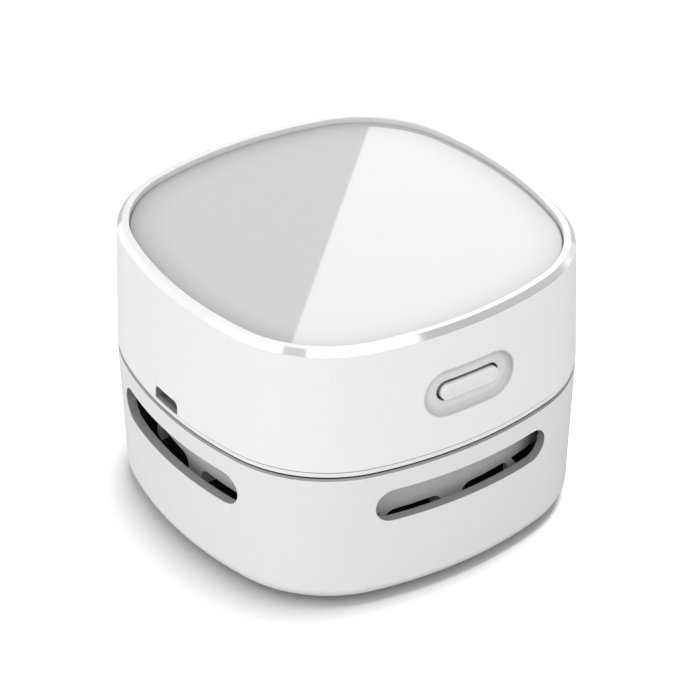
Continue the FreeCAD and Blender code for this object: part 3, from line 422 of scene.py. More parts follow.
def inset_of(tree, axes):
    """How far inward of the widest outline a point lies, in metres, worked out as plan() does."""
    arcs = plan_arcs()
    side_centre = arcs[0][0]
    tangent = arcs[1][3]
    across = add(tree, "Math", {0: axes.outputs["X"]}, operation="ABSOLUTE")
    along = add(tree, "Math", {0: axes.outputs["Y"]}, operation="ABSOLUTE")
    longer = add(tree, "Math", {0: across, 1: along}, operation="MAXIMUM")
    shorter = add(tree, "Math", {0: across, 1: along}, operation="MINIMUM")
    place = add(tree, "CombineXYZ", {"X": longer, "Y": shorter})
    insets = []
    for x, y, radius, start, sweep in arcs:
        reach = add(tree, "VectorMath", {0: place, 1: (x * MM, y * MM, 0)}, operation="DISTANCE")
        insets.append(add(tree, "Math", {0: radius * MM, 1: reach}, operation="SUBTRACT"))
    arm = add(tree, "Math", {0: longer, 1: side_centre * MM}, operation="SUBTRACT")
    slope = add(tree, "Math", {0: shorter, 1: arm}, operation="DIVIDE")
    turned = add(tree, "Math", {0: slope, 1: tan(tangent)}, operation="GREATER_THAN")
    return add(tree, "Mix", {"Factor": turned, "A": insets[0], "B": insets[1]})


def dish_reach(tree, axes):
    """How far a point of the front wall lies from the spine of the slot-shaped dish, in metres."""
    button_z = sum(heights("power_button")) / 2
    across = add(tree, "Math", {0: axes.outputs["X"]}, operation="ABSOLUTE")
    past = add(tree, "Math", {0: across, 1: DISH_REACH * MM}, operation="SUBTRACT")
    end = add(tree, "Math", {0: past, 1: 0.0}, operation="MAXIMUM")
    behind = add(tree, "Math", {0: axes.outputs["Y"], 1: 0.0}, operation="MAXIMUM")
    place = add(tree, "CombineXYZ", {"X": end, "Y": axes.outputs["Z"], "Z": behind})
    return add(tree, "VectorMath", {0: place, 1: (0, button_z * MM, 0)}, operation="DISTANCE")


def sprayed_abs(name, base, skin, lean, dished=False, shadow_line_above=None):
    """A moulding sprayed satin white, with grey laid just inside each edge as painted shade, so that the
    openings and the seams read darker. Its grain is drawn coarser, as on moulded ABS.
    skin is the wall's inset at the seam, lean is what each millimetre of height adds to it, and above the
    height in the last argument the grey is also laid as a painted shadow line."""
    material, tree, shader, place = started(name, {"IOR": 1.53})
    axes = add(tree, "SeparateXYZ", {"Vector": place})
    height = axes.outputs["Z"]
    wall = add(tree, "Math", {0: height, 1: lean, 2: (skin - lean * SEAM) * MM}, operation="MULTIPLY_ADD")
    depth = add(tree, "Math", {0: inset_of(tree, axes), 1: wall}, operation="SUBTRACT")
    paint = (*base, 1)
    if dished:
        # the dish's white is darkened, most near its edge: painted shade in the recess
        reach = dish_reach(tree, axes)
        rim = {"From Min": (DISH_RADIUS + DISH_LIP) * MM, "From Max": DISH_RADIUS * MM}
        dish = add(tree, "MapRange", {"Value": reach, **rim})
        sunk = add(tree, "Math", {0: dish, 1: DISH_DEPTH * MM}, operation="MULTIPLY")
        depth = add(tree, "Math", {0: depth, 1: sunk}, operation="SUBTRACT")
        shade_limits = {"From Min": (DISH_RADIUS - 1.6) * MM, "From Max": (DISH_RADIUS - 0.1) * MM}
        dish_shade = add(tree, "MapRange", {"Value": reach, **shade_limits, "To Min": 0.86, "To Max": 0.62})
        shaded_paint = add(tree, "HueSaturation", {"Value": dish_shade, "Color": paint})
        paint = add(tree, "Mix", {"Factor": dish, "A": paint, "B": shaded_paint}, data_type="RGBA")
    # the painted shade is kept off the round edge under the tub, which curves in from the wall, and off the
    # underside
    foot = low("lower_shell").z
    round_top = foot + BOTTOM_ROUND
    lower = {"From Min": round_top * MM, "From Max": (round_top - 0.4) * MM, "To Max": 1.8 * MM}
    rounded = add(tree, "MapRange", {"Value": height, **lower})
    depth = add(tree, "Math", {0: depth, 1: rounded}, operation="SUBTRACT")
    painted_shade_mask = add(tree, "MapRange", {"Value": depth, "From Min": SHADE_BEGINS * MM, "From Max": SHADE_FULL * MM})
    underside = add(tree, "Math", {0: height, 1: (foot + 0.1) * MM}, operation="GREATER_THAN")
    painted_shade_mask = add(tree, "Math", {0: painted_shade_mask, 1: underside}, operation="MULTIPLY")
    # painted shadow: above this height the grey is laid as a thin line, standing in for the shade under the
    # cover's edge
    if shadow_line_above:
        fade = {"Value": height, "From Min": (shadow_line_above - 0.05) * MM, "From Max": shadow_line_above * MM}
        painted_shade_mask = add(tree, "Math", {0: painted_shade_mask, 1: add(tree, "MapRange", fade)}, operation="MAXIMUM")
    coat = add(tree, "Mix", {"Factor": painted_shade_mask, "A": paint, "B": (*colours().under, 1)}, data_type="RGBA")
    grit = add(tree, "TexNoise", {"Vector": place, "Scale": per(0.4), "Detail": 3.0})
    varied(tree, shader, grit, coat, 0.012, 0.34, 0.05, 0.003)
    return material


def clear_acrylic(name, base):
    """Cast acrylic sheet, painted behind and flame-polished: a still mirror over a flat tone.
    Near the edge its base colour is darkened as painted shade, standing in for the rim's shade on the
    sheet."""
    material, tree, shader, place = started(name, {"IOR": 1.49})
    edge = add(tree, "Attribute", attribute_name="painted_edge_shade")
    haze = add(tree, "TexNoise", {"Vector": place, "Scale": per(18), "Detail": 2.0})
    shade = add(tree, "MapRange", {"Value": edge.outputs["Fac"], "To Min": 1.0, "To Max": 0.72})
    tint = add(tree, "HueSaturation", {"Value": shade, "Color": (*base, 1)})
    gloss = add(tree, "MapRange", {"Value": haze, "To Min": 0.01, "To Max": 0.035})
    wire(tree, shader, {"Base Color": tint, "Roughness": gloss})
    return material


def cut_plating(name, plate, satin):
    """Silver paint on moulded ABS, whose bevel is cut with a diamond and plated: the bevel mirrors the
    room, and the land and the inner wall are a satin pale silver."""
    material, tree, shader, place = started(name)
    cut = add(tree, "Attribute", attribute_name="cut")
    tones = {"Factor": cut.outputs["Fac"], "A": (*satin, 1), "B": (*plate, 1)}
    coat = add(tree, "Mix", tones, data_type="RGBA")
    wave = add(tree, "TexNoise", {"Vector": place, "Scale": per(3.5), "Detail": 1.0})
    varied(tree, shader, wave, coat, 0.01, 0.12, 0.02, 0.002)
    gloss = add(tree, "MapRange", {"Value": cut.outputs["Fac"], "To Min": 0.34, "To Max": 0.09})
    wire(tree, shader, {"Roughness": gloss, "Metallic": cut.outputs["Fac"]})
    return material


def moulded_rubber(name, base):
    """Compression-moulded rubber: nearly black, with a dusty grain that hardly shines."""
    return grained(name, {"IOR": 1.52}, base, 0.5, 4.0, (0.12, 0.78, 0.08, 0.01))


def drawn_nylon(name, base, rough=0.38):
    """Nylon filament drawn through a die: a smooth thread with a slight sheen along it."""
    return grained(name, {"IOR": 1.53, "Sheen Weight": 0.15}, base, 1.2, 2.0, (0.1, rough, 0.06, 0.002))


def metal(name, base, rough, grain, stretch=(1, 1, 1), spread=0.06):
    """A bare metal whose working marks run as far along each axis as stretch says."""
    return grained(name, {"Metallic": 1.0}, base, grain, 3.0, (spread, rough, 0.07, 0.003), stretch)


def stacked_laminations(name, base):
    """Stamped electrical steel, 0.5 mm sheets in a stack: a dark metal with a line between the sheets."""
    material, tree, shader, place = started(name, {"Metallic": 1.0})
    sheets = add(tree, "TexWave", {"Vector": place, "Scale": WAVE_REPEAT * per(0.5)}, bands_direction="Z")
    varied(tree, shader, sheets.outputs["Fac"], base, 0.25, 0.5, 0.1, 0.03)
    return material


def enamelled_copper(name, base):
    """Copper wire under clear enamel, wound in layers of 0.3 mm turns: ribbed, red-brown and glossy."""
    constants = {"Metallic": 1.0, "Coat Weight": 0.6, "Coat Roughness": 0.12}
    material, tree, shader, place = started(name, constants)
    turns = add(tree, "TexWave", {"Vector": place, "Scale": WAVE_REPEAT * per(0.3)}, bands_direction="Z")
    varied(tree, shader, turns.outputs["Fac"], base, 0.2, 0.3, 0.05, 0.06)
    return material


def pressed_powder(name, base, rough, metallic=0.0):
    """Powder pressed and sintered: pores of about 0.3 mm break an otherwise dull face."""
    material, tree, shader, place = started(name, {"Metallic": metallic})
    pores = add(tree, "TexVoronoi", {"Vector": place, "Scale": per(0.3)})
    varied(tree, shader, pores, base, 0.18, rough, 0.06, 0.02)
    return material


def shrink_film(name, base):
    """PVC film shrunk round the cell: glossy, with faint wrinkles along the cell."""
    return grained(name, {"IOR": 1.54}, base, 1.5, 2.0, (0.06, 0.22, 0.05, 0.02), (1, 1 / 0.12, 1))


def solder_mask(name, base):
    """Epoxy mask over etched tracks of about 0.8 mm: the tracks stand up as paler lines."""
    material, tree, shader, place = started(name, {"IOR": 1.55})
    tracks = add(
        tree, "TexBrick",
        {"Vector": place, "Scale": per(8), "Mortar Size": 0.04, "Mortar Smooth": 0.3,
         "Color1": (0, 0, 0, 1), "Color2": (0.15, 0.15, 0.15, 1), "Mortar": (1, 1, 1, 1)},
    )
    varied(tree, shader, tracks, base, 0.22, 0.32, 0.04, 0.02)
    return material


def cast_epoxy(name, base):
    """Black epoxy of the electronic parts: matt from its mould, with a fine even grain."""
    return grained(name, None, base, 0.25, 2.0, (0.1, 0.55, 0.06, 0.006))


def extruded_pvc(name, base):
    """Soft PVC extruded on to wire: smooth, with the slight gloss of a die."""
    return grained(name, {"IOR": 1.53}, base, 2.0, 1.0, (0.05, 0.4, 0.05, 0.004))


def shared(name, make, *details):
    """The material of that name, made the first time that a piece asks for it."""
    return bpy.data.materials.get(name) or make(name, *details)


def grey_abs():
    return shared("moulded_grey_abs", moulded_abs, colours().guide, 0.5)


def black_abs():
    return shared("moulded_black_abs", moulded_abs, colours().dark, 0.42)


def black_rubber():
    return shared("moulded_rubber", moulded_rubber, colours().rubber)


def drawn_steel():
    """Nickel-plated steel, drawn upwards into cans and shells."""
    return shared("drawn_steel", metal, linear("C9C8C4"), 0.3, 0.6, (1, 1, 8))


# ---- outside

class VACUUM_OT_shells(Operator):
    """The tub, the cover and the band at the seam: sprayed mouldings with rounded edges"""
    bl_idname = "vacuum.shells"
    bl_label = "Shells"

    def execute(self, context):
        edge = sizes().shell_edge
        # the tub's darker white is painted shade near the floor
        tub = sprayed_abs("sprayed_tub", colours().tub, 0.1, -0.033)
        # the band's top above 32.93 mm is grey: a painted shadow line under the cover's edge
        band = sprayed_abs("sprayed_band", colours().cover, 0.3, 0, shadow_line_above=32.93)
        cover = sprayed_abs("sprayed_cover", colours().cover, 0, 0.0355, dished=True)
        dressed(edge / 2, tub, "lower_shell")
        dressed(edge, band, "chassis_plate")
        dressed(edge, cover, "upper_shell")
        return {"FINISHED"}


class VACUUM_OT_rim(Operator):
    """The plated rim: a bevelled ring with a leg that drops beside the lid"""
    bl_idname = "vacuum.rim"
    bl_label = "Rim"

    def execute(self, context):
        edge = sizes().rim_edge / MM
        foot, top = heights("trim_ring")
        shoulder = top - 1.2
        outer = HALF_WIDTH - high("trim_ring").x
        land = outer + 1.16    # where the bevel ends and the flat top begins
        leg = 2.12             # outer and inner face of the leg beside the lid
        inner = 3.45
        profile = eased([
            (outer, shoulder, 0.05), (land, top, edge), (inner, top, edge), (inner, foot, 0.1),
            (leg, foot, 0.1), (leg, shoulder, 0),
        ])
        bm = bmesh.new()
        cuts = [inset < land for inset, z in profile]
        marked_loft(bm, "cut", [plan_loop(*point) for point in profile], cuts, around=True)
        plating = cut_plating("cut_plating", colours().rim, colours().land)
        evened(finished("rim", bm, "motor_unit", "rim_plate", plating, "trim_ring"))
        return {"FINISHED"}


class VACUUM_OT_lid(Operator):
    """The glossy lid: a clear sheet, painted behind, with a small round on its edge"""
    bl_idname = "vacuum.lid"
    bl_label = "Lid"

    def execute(self, context):
        foot, top = heights("top_panel")
        outer = HALF_WIDTH - high("top_panel").x
        round_edge = 0.3
        fade = 9.0             # width of the painted shade along the edge
        steps = 14
        # painted shade: each loop carries how far the lid's colour is darkened, full at the edge and fading
        # out inward
        loops = [plan_loop(outer + 0.1, foot), plan_loop(outer, foot + 0.1)]
        painted_shades = [1, 1]
        for wide, tall in quarter_arc(4):
            loops.append(plan_loop(outer + round_edge * (1 - wide), top - round_edge * (1 - tall)))
            painted_shades.append(1)
        for step in range(1, steps + 1):
            depth = (step / steps) ** 1.5
            loops.append(plan_loop(outer + round_edge + fade * depth, top))
            painted_shades.append((1 - depth) ** 2.3)
        bm = bmesh.new()
        marked_loft(bm, "painted_edge_shade", loops, painted_shades)
        acrylic = clear_acrylic("clear_acrylic", colours().lid)
        evened(finished("lid", bm, "motor_unit", "lid_gloss", acrylic, "top_panel"))
        return {"FINISHED"}


class VACUUM_OT_button(Operator):
    """The power button: a slot-shaped cap with a flange behind the wall and a stem"""
    bl_idname = "vacuum.button"
    bl_label = "Power button"

    def execute(self, context):
        front = low("power_button").y
        bottom, top = heights("power_button")
        z = (top + bottom) / 2
        flange_length = high("power_button").x * 2
        flange_height = top - bottom
        overlap = 2.4          # flange beyond the cap
        painted = 1.0          # depth behind the front past which the cap is grey: painted shade in the gap
        crown = 0.08           # rise of the cap's face
        edge = 0.24
        stem_length = 0.8
        cap_length = flange_length - overlap
        cap_height = flange_height - overlap
        flange_back = high("power_button").y - stem_length
        flange_front = flange_back - 0.7
        chamfer = 0.15
        # each outline's inset and its place along Y, from the flange's back to the middle of the face
        flange = [
            (chamfer, flange_back), (0, flange_back - chamfer), (0, flange_front + chamfer),
            (chamfer, flange_front),
        ]
        cap = [(0, flange_front), (0, front + painted), (0, front + painted - 0.1)]
        cap += [(edge * (1 - wide), front + crown + edge * (1 - tall)) for wide, tall in quarter_arc(5)]
        for step in range(1, 6):
            cap.append((edge + (cap_height / 2 - edge) * step / 6, front + crown * (1 - step / 5)))
        loops = [slot_loop(flange_length, flange_height, *place, z) for place in flange]
        loops += [slot_loop(cap_length, cap_height, *place, z) for place in cap]
        bm = bmesh.new()
        # loops deeper than that depth carry the painted shade
        marked_loft(bm, "painted_shade_mask", loops, [y >= front + painted for inset, y in flange + cap])
        stem = [circle_loop(1.5, 0), circle_loop(1.5, 0.7), circle_loop(1.4, stem_length)]
        turn = Matrix.Translation((0, flange_back, z)) @ Matrix.Rotation(-pi / 2, 4, "X")
        lofted(bm, [[turn @ point for point in loop] for loop in stem])
        gloss_white = sprayed_cap("sprayed_cap", colours().button)
        evened(finished("button_cap", bm, "button", "button_white", gloss_white, "power_button"))
        dressed(sizes().inner_edge, black_abs(), "switch_plunger")
        return {"FINISHED"}


class VACUUM_OT_gasket(Operator):
    """The seam gasket: a rubber bead in the gap between the tub and the motor unit"""
    bl_idname = "vacuum.gasket"
    bl_label = "Seam gasket"

    def execute(self, context):
        foot, top = heights("seam_gasket")
        outer = HALF_WIDTH - high("seam_gasket").x
        inner = outer + 1.3
        profile = eased([(outer, foot, 0.2), (outer, top, 0.2), (inner, top, 0.1), (inner, foot, 0.1)])
        bm = bmesh.new()
        lofted(bm, [plan_loop(*point) for point in profile], around=True)
        evened(finished("seam_bead", bm, "motor_unit", "soft_black", black_rubber(), "seam_gasket"))
        return {"FINISHED"}


class VACUUM_OT_feet(Operator):
    """The four foot pads: rubber discs with a soft edge and a moulded ring"""
    bl_idname = "vacuum.feet"
    bl_label = "Foot pads"

    def execute(self, context):
        for number in range(1, 5):
            node = "foot_pad_" + str(number)
            centre = (low(node) + high(node)) / 2
            radius = high(node).x - centre.x
            top = high(node).z
            soft = 0.45        # round of the lower edge
            profile = [(radius - 0.1, top), (radius, top - 0.1)]
            profile += [(radius - soft * (1 - wide), soft * (1 - tall)) for wide, tall in quarter_arc(4)]
            profile += [(radius - 1.3, 0), (radius - 1.5, 0.15), (radius - 1.9, 0.15), (radius - 2.1, 0)]
            bm = bmesh.new()
            lofted(bm, [circle_loop(reach, z, centre.xy) for reach, z in profile])
            finished("foot_" + str(number), bm, "base", "foot_rubber", black_rubber(), node)
        return {"FINISHED"}


# ---- base and filter

class VACUUM_OT_nozzle(Operator):
    """The intake funnel and the ring that carries the brush"""
    bl_idname = "vacuum.nozzle"
    bl_label = "Nozzle"

    def execute(self, context):
        edge = sizes().inner_edge
        dressed(edge, grey_abs(), "intake_nozzle")
        dressed(edge, black_abs(), "brush_carrier")
        return {"FINISHED"}


class VACUUM_OT_bristles(Operator):
    """The brush round the mouth: nylon filaments in tufts that splay towards the desk"""
    bl_idname = "vacuum.bristles"
    bl_label = "Bristles"

    def execute(self, context):
        radius = sizes().filament / MM
        tufts = 24
        rings = ((1, 0.0), (6, 0.26), (12, 0.5))       # filaments and their distance from the tuft's middle
        circle = 19.4
        tip, root = heights("bristle_tufts")
        draw = random.Random(SEED)
        bm = bmesh.new()
        for tuft in range(tufts):
            angle = tau * (tuft + 0.5) / tufts
            middle = Vector((circle * cos(angle), circle * sin(angle), 0))
            for count, spread in rings:
                for number in range(count):
                    bearing = tau * (number + draw.random() * 0.4) / count
                    outward = Vector((cos(bearing), sin(bearing), 0))
                    foot = middle + outward * spread
                    splay = outward * draw.uniform(0.02, 0.1)       # lean of the tip
                    end = tip + draw.uniform(0, 0.18)               # cut a little uneven
                    stations = [
                        foot + splay * along ** 2 + Vector((0, 0, root + (end - root) * along))
                        for along in (0, 1 / 3, 2 / 3, 1)
                    ]
                    tube(bm, stations, [radius, radius, radius * 0.9, radius * 0.55], steps=5)
        nylon = drawn_nylon("drawn_nylon", linear("26272A"))
        finished("bristles", bm, "base", "bristle", nylon, "bristle_tufts", sharp=pi)
        return {"FINISHED"}


class VACUUM_OT_filter(Operator):
    """The filter: its black frame, and cloth woven from flat nylon threads"""
    bl_idname = "vacuum.filter"
    bl_label = "Filter"

    def execute(self, context):
        dressed(sizes().inner_edge, black_abs(), "filter_frame")
        pitch = sizes().thread_pitch / MM
        foot, top = heights("filter_mesh")
        half = high("filter_mesh").x
        middle = (foot + top) / 2
        outline = plan(HALF_WIDTH - half)
        count = int(half / pitch)
        bm = bmesh.new()
        for across in range(-count, count + 1):
            place = across * pitch
            reach = max(abs(y) for x, y in outline if abs(abs(x) - abs(place)) < pitch)
            crossings = int(reach / pitch)
            for lengthwise in (True, False):
                stations = []
                for along in range(-crossings, crossings + 1):
                    lift = (top - foot) / 4 * (1 if (across + along + lengthwise) % 2 else -1)
                    x, y = (place, along * pitch) if lengthwise else (along * pitch, place)
                    stations.append(Vector((x, y, middle + lift)))
                tube(bm, stations, [pitch * 0.3] * len(stations), steps=4, flat=0.3)
        nylon = drawn_nylon("woven_nylon", colours().cloth, 0.5)
        finished("filter_weave", bm, "filter_tray", "filter_cloth", nylon, "filter_mesh", sharp=pi)
        return {"FINISHED"}


# ---- motor unit

class VACUUM_OT_fan_case(Operator):
    """The windowed air guide, the inlet plate and the fan wheel"""
    bl_idname = "vacuum.fan_case"
    bl_label = "Fan case"

    def execute(self, context):
        edge = sizes().inner_edge
        dressed(edge, grey_abs(), "air_guide")
        dressed(edge, black_abs(), "inlet_plate", "impeller")
        return {"FINISHED"}


def screw(bm, place, seat, tip, head_radius, head_height, shank_radius):
    """A cross-recessed pan screw, whose head bears on seat and whose thread runs to tip."""
    away = -1 if tip > seat else 1
    x, y = place
    flat = head_radius * 0.72
    brim = seat + away * head_height * 0.4
    crown = seat + away * head_height
    steps = 24
    loops = [
        circle_loop(head_radius * 0.97, seat, place, steps),
        circle_loop(head_radius, seat + away * 0.08, place, steps),
    ]
    for wide, tall in quarter_arc(4):
        reach = flat + (head_radius - flat) * wide
        loops.append(circle_loop(reach, brim + (crown - brim) * tall, place, steps))
    head = lofted(bm, loops, ends=False)
    bm.faces.new(head[0])
    arm = head_radius * 0.56       # length and half width of the recess's arms
    half = head_radius * 0.15
    corners = crossed([(arm, -half), (arm, half), (half, half)])
    recess = [
        [Vector((x + scale * px, y + scale * py, z)) for px, py in corners]
        for scale, z in ((1, crown), (0.6, crown - away * head_height * 0.55))
    ]
    mouth, floor = lofted(bm, recess, ends=False)
    bm.faces.new(floor)
    rims = [(ring[index - 1], ring[index]) for ring in (mouth, head[-1]) for index in range(len(ring))]
    bmesh.ops.triangle_fill(bm, edges=[bm.edges.get(rim) for rim in rims], use_beauty=True)
    pitch = shank_radius * 0.7
    steps = 12
    rings = max(6, int(abs(tip - seat) / pitch * 5))
    thread = []
    for ring in range(rings + 1):
        along = ring / rings
        z = seat + (tip - seat) * along
        taper = 1 - 0.35 * max(0, along - 0.85) / 0.15
        loop = []
        for step in range(steps):
            phase = (step / steps + abs(z - seat) / pitch) % 1
            reach = shank_radius * taper * (0.84 + 0.16 * abs(2 * phase - 1))
            angle = tau * step / steps
            loop.append(Vector((x + reach * cos(angle), y + reach * sin(angle), z)))
        thread.append(loop)
    lofted(bm, thread)


class VACUUM_OT_screws(Operator):
    """The zinc-plated pan screws of the nozzle, the fan case, the motor, the shell and the board"""
    bl_idname = "vacuum.screws"
    bl_label = "Screws"

    def execute(self, context):
        zinc = metal("zinc_plated_steel", linear("A9ABAE"), 0.32, 0.8, spread=0.1)
        board_places = [(-34.6, 13.2), (-17.2, -13.2)]
        shell_places = [(31.2, 12.0), (31.2, -12.0), (-29.0, 20.5), (-29.0, -20.5)]
        guide_places = [(25.6, 25.6), (25.6, -25.6), (-25.6, 25.6), (-25.6, -25.6)]
        nozzle_places = [circle_loop(24.2, 0, steps=12)[index].xy for index in (3, 7, 11)]
        # node, body, places, head up, head radius, head height, shank radius
        groups = (
            ("nozzle_screws", "base", nozzle_places, True, 1.8, 1.2, 0.9),
            ("guide_screws", "motor_unit", guide_places, False, 2.4, 1.5, 1.25),
            ("inlet_screws", "motor_unit", [(33, 0), (-33, 0), (0, 33), (0, -33)], False, 1.8, 0.7, 0.9),
            ("motor_screws", "motor_unit", [(8, 0), (-8, 0)], False, 1.8, 0.8, 0.9),
            ("shell_screws", "motor_unit", shell_places, False, 2.3, 1.4, 1.1),
            ("board_screws", "motor_unit", board_places, True, 1.8, 1.2, 0.9),
        )
        for node, body, places, head_up, head_radius, head_height, shank_radius in groups:
            foot, top = heights(node)
            seat = top - head_height if head_up else foot + head_height
            tip = foot if head_up else top
            bm = bmesh.new()
            for place in places:
                screw(bm, place, seat, tip, head_radius, head_height, shank_radius)
            finished("threaded_" + node, bm, body, "screw_steel", zinc, node)
        return {"FINISHED"}


class VACUUM_OT_motor(Operator):
    """The motor, from its can and magnets to its shaft, windings and commutator"""
    bl_idname = "vacuum.motor"
    bl_label = "Motor"

    def execute(self, context):
        edge = sizes().inner_edge
        bronze = pressed_powder("sintered_bronze", linear("A9834F"), 0.45, 1.0)
        dressed(edge, drawn_steel(), "motor_can")
        dressed(edge, black_abs(), "motor_end_cap")
        dressed(edge, pressed_powder("pressed_ferrite", linear("3A3A3D"), 0.7), "motor_magnets")
        dressed(0, bronze, "front_bushing", "rear_bushing")
        dressed(0, metal("stamped_brass", linear("D9BE86"), 0.28, 1.0, (6, 1, 1)), "motor_terminals")
        dressed(0, pressed_powder("pressed_graphite", linear("2B2B2D"), 0.55), "carbon_brushes")
        dressed(0, metal("ground_steel", linear("CFCFD2"), 0.16, 0.3, (1, 1, 0.2)), "motor_shaft")
        dressed(0, stacked_laminations("stacked_laminations", linear("77787C")), "armature_core")
        dressed(edge, enamelled_copper("enamelled_copper", linear("B5653F")), "armature_windings")
        dressed(0, metal("turned_copper", linear("D08A66"), 0.25, 0.3, (1, 1, 0.2)), "commutator")
        return {"FINISHED"}


class VACUUM_OT_cell(Operator):
    """The lithium cell in its cradle, with its nickel strips"""
    bl_idname = "vacuum.cell"
    bl_label = "Cell"

    def execute(self, context):
        edge = sizes().inner_edge
        dressed(3 * edge, shrink_film("shrink_film", colours().wrap), "battery_cell")
        dressed(edge, grey_abs(), "battery_cradle")
        dressed(0, metal("rolled_nickel", linear("C8C4BA"), 0.3, 0.8, (1, 1, 6)), "battery_tabs")
        return {"FINISHED"}


class VACUUM_OT_boards(Operator):
    """Both circuit boards, what is soldered to them, the tact switch and the charging socket"""
    bl_idname = "vacuum.boards"
    bl_label = "Boards"

    def execute(self, context):
        edge = sizes().inner_edge
        epoxy = cast_epoxy("cast_epoxy", linear("242426"))
        mask = solder_mask("solder_mask", colours().board)
        dressed(0, mask, "circuit_board", "switch_board")
        dressed(edge, epoxy, "board_components", "tact_switch")
        dressed(0, epoxy, "usb_tongue")
        dressed(0, drawn_steel(), "usb_socket")
        return {"FINISHED"}


class VACUUM_OT_wires(Operator):
    """The wires of the motor, the cell and the switch, each through its own stops"""
    bl_idname = "vacuum.wires"
    bl_label = "Wires"

    def execute(self, context):
        insulation = extruded_pvc("extruded_pvc", colours().wire)
        dressed(sizes().wire / 2, insulation, "motor_leads", "battery_leads", "switch_leads")
        return {"FINISHED"}


# ---- stage

class VACUUM_OT_stage(Operator):
    """The camera, a plain pale floor, a soft sky and the card that the lid reflects"""
    bl_idname = "vacuum.stage"
    bl_label = "Stage"

    def execute(self, context):
        stage = context.scene.vacuum_stage
        bearing = stage.azimuth
        rise = stage.elevation
        back = Vector((
            sin(bearing) * cos(rise), -cos(bearing) * cos(rise), sin(rise)
        ))
        right = Vector((cos(bearing), sin(bearing), 0))
        up = back.cross(right)
        eye = back * stage.distance + right * stage.sideways + up * stage.raised
        eye.z += high("foot_pad_1").z * MM
        camera = bpy.data.cameras.new("camera")
        camera.lens = stage.lens
        viewer = placed("camera", camera)
        viewer.location = eye
        viewer.rotation_mode = "QUATERNION"
        viewer.rotation_quaternion = (-back).to_track_quat("-Z", "Y")
        context.scene.camera = viewer
        context.scene.view_settings.view_transform = "Standard"
        make_floor(stage.floor_lamp)
        make_sky(stage.sky)
        make_card(eye, stage.card)
        return {"FINISHED"}


def make_floor(lamp_power):
    """A wide disc at desk height, in matt white laminate. Its softbox lights nothing else, and that light
    isn't passed on, so the floor stays pale and the object has the room's light only."""
    bm = bmesh.new()
    loops = [circle_loop(radius * 1000, 0, steps=64) for radius in (0.1, 0.4, 1.2, 4.0)]
    lofted(bm, loops, ends=False)
    bm.faces.new([bm.verts.new(point) for point in loops[0]])
    bmesh.ops.remove_doubles(bm, verts=bm.verts, dist=0.01)
    constants = {"Specular IOR Level": 0.2}
    laminate = grained("matt_laminate", constants, linear("BEBEBE"), 1.5, 3.0, (0.004, 0.7, 0.03, 0.002))
    floor = drawn("floor", bm, laminate)
    lit = bpy.data.collections.new("lit_floor")
    lit.objects.link(floor)
    lamp = bpy.data.lights.new("floor_softbox", "SUN")
    lamp.energy = lamp_power
    lamp.angle = radians(28)
    lamp.cycles.max_bounces = 0
    softbox = placed("floor_softbox", lamp)
    softbox.rotation_euler = (radians(-3), radians(11), 0)
    softbox.light_linking.receiver_collection = lit


# what stands out in the room: axis, inner and outer radius in degrees, brightness against the room
ZONES = (
    ((-0.74, 0.2, 0.64), 18, 21, 2.35),           # side softbox
    ((-0.63, -0.18, 0.755), 11.5, 12.5, 0.72),    # gap beside it
    ((-0.13, -0.62, 0.78), 25, 26.5, 2.2),        # front softbox
    ((0.7, -0.4, 0.58), 26, 36, 0.62),            # dim corner
    ((0.93, 0.33, 0.05), 12, 22, 0.78),           # screen low at the right
    ((0.5, -0.87, 0.0), 15, 50, 0.8),             # dim ground in front
)


def make_sky(brightness):
    """A white room: brightest near the horizon, dimmer overhead and below, with softboxes and dim zones."""
    world = bpy.data.worlds.new("white_room")
    bpy.context.scene.world = world
    world.use_nodes = True
    tree = world.node_tree
    tree.nodes.clear()
    direction = add(tree, "TexCoord").outputs["Generated"]
    height = add(tree, "SeparateXYZ", {"Vector": direction}).outputs["Z"]
    fall = {"From Min": 0.1, "From Max": 0.9, "To Min": brightness, "To Max": 0.85 * brightness}
    light = add(tree, "MapRange", {"Value": height, **fall})
    horizon = {"From Min": -0.04, "From Max": 0.0, "To Min": 0.74, "To Max": 1.0}
    below = add(tree, "MapRange", {"Value": height, **horizon})
    light = add(tree, "Math", {0: light, 1: below}, operation="MULTIPLY")
    for zone in ZONES:
        light = add(tree, "Math", {0: light, 1: patch(tree, direction, *zone)}, operation="MULTIPLY")
    ground = add(tree, "Background", {"Color": (1, 1, 1, 1), "Strength": light})
    add(tree, "OutputWorld", {"Surface": ground})


def patch(tree, direction, axis, inner, outer, level):
    """1 across the sky, and level within a round patch. inner and outer are its radii in degrees."""
    near = add(tree, "VectorMath", {0: direction, 1: Vector(axis).normalized()}, operation="DOT_PRODUCT")
    edges = {"From Min": cos(radians(outer)), "From Max": cos(radians(inner))}
    return add(tree, "MapRange", {"Value": near, **edges, "To Min": 1.0, "To Max": level})


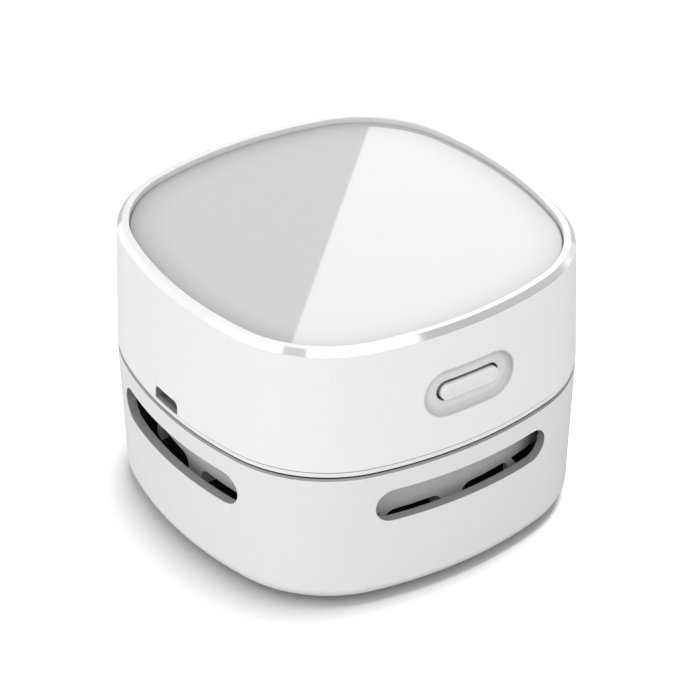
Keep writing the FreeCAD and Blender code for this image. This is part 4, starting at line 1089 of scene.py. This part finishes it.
def make_card(eye, brightness):
    """A lit card behind the object, whose straight edge the lid mirrors from corner to corner."""
    distance = 0.6
    width = 0.5
    lid = high("top_panel").z * MM
    near = Vector((-30.32 * MM, -26.48 * MM, lid))     # where the edge's reflection crosses the lid
    far = Vector((28.75 * MM, 32.07 * MM, lid))
    lit = Vector((36.0 * MM, -27.3 * MM, lid))         # a corner of the lid on the lit side
    mirrored = Vector((eye.x, eye.y, 2 * lid - eye.z))
    axis = ((near + far) / 2 - mirrored).normalized()
    middle = Vector((0, 0, lid)) + axis * distance
    places = []
    for point in (near, far, lit):
        ray = (point - mirrored).normalized()
        places.append(mirrored + ray * ((middle - mirrored).dot(axis) / ray.dot(axis)))
    along = (places[1] - places[0]).normalized()
    across = axis.cross(along)
    if (places[2] - places[0]).dot(across) < 0:
        across = -across
    start = (places[0] + places[1]) / 2
    sides = ((0, -1), (1, -1), (1, 1), (0, 1))
    corners = [start + across * width * side + along * width / 2 * end for side, end in sides]
    mesh = bpy.data.meshes.new("card")
    mesh.from_pydata(corners, [], [(0, 1, 2, 3)])
    material = bpy.data.materials.new("lit_card")
    material.use_nodes = True
    tree = material.node_tree
    tree.nodes.clear()
    glow = add(tree, "Emission", {"Color": (1, 1, 1, 1), "Strength": brightness})
    add(tree, "OutputMaterial", {"Surface": glow})
    mesh.materials.append(material)
    card = placed("card", mesh)
    card.visible_camera = False
    card.visible_diffuse = False
    card.visible_shadow = False


# ---- add-on

OPERATORS = (
    VACUUM_OT_stage, VACUUM_OT_shells, VACUUM_OT_rim, VACUUM_OT_lid, VACUUM_OT_button, VACUUM_OT_gasket,
    VACUUM_OT_feet, VACUUM_OT_nozzle, VACUUM_OT_bristles, VACUUM_OT_filter, VACUUM_OT_fan_case,
    VACUUM_OT_screws, VACUUM_OT_motor, VACUUM_OT_cell, VACUUM_OT_boards, VACUUM_OT_wires,
)


class VACUUM_PT_panel(bpy.types.Panel):
    """Lists the sizes, the colours and the pieces"""
    bl_idname = "VACUUM_PT_panel"
    bl_label = "Mini Vacuum"
    bl_space_type = "VIEW_3D"
    bl_region_type = "UI"
    bl_category = "Mini Vacuum"

    def draw(self, context):
        for group in (sizes(), colours(), context.scene.vacuum_stage):
            box = self.layout.box()
            for name in group.bl_rna.properties.keys():
                if name not in {"rna_type", "name"}:
                    box.prop(group, name)
        for operator in OPERATORS:
            self.layout.operator(operator.bl_idname)


GROUPS = {
    "vacuum_sizes": VACUUM_PG_sizes, "vacuum_colours": VACUUM_PG_colours, "vacuum_stage": VACUUM_PG_stage,
}
CLASSES = (*GROUPS.values(), *OPERATORS, VACUUM_PT_panel)


def register():
    for item in CLASSES:
        bpy.utils.register_class(item)
    for name, group in GROUPS.items():
        setattr(bpy.types.Scene, name, bpy.props.PointerProperty(type=group))


def unregister():
    for name in GROUPS:
        delattr(bpy.types.Scene, name)
    for item in reversed(CLASSES):
        bpy.utils.unregister_class(item)


def main():
    register()
    for operator in OPERATORS:
        getattr(bpy.ops.vacuum, operator.bl_idname.removeprefix("vacuum."))()


if __name__ == "__main__":
    main()
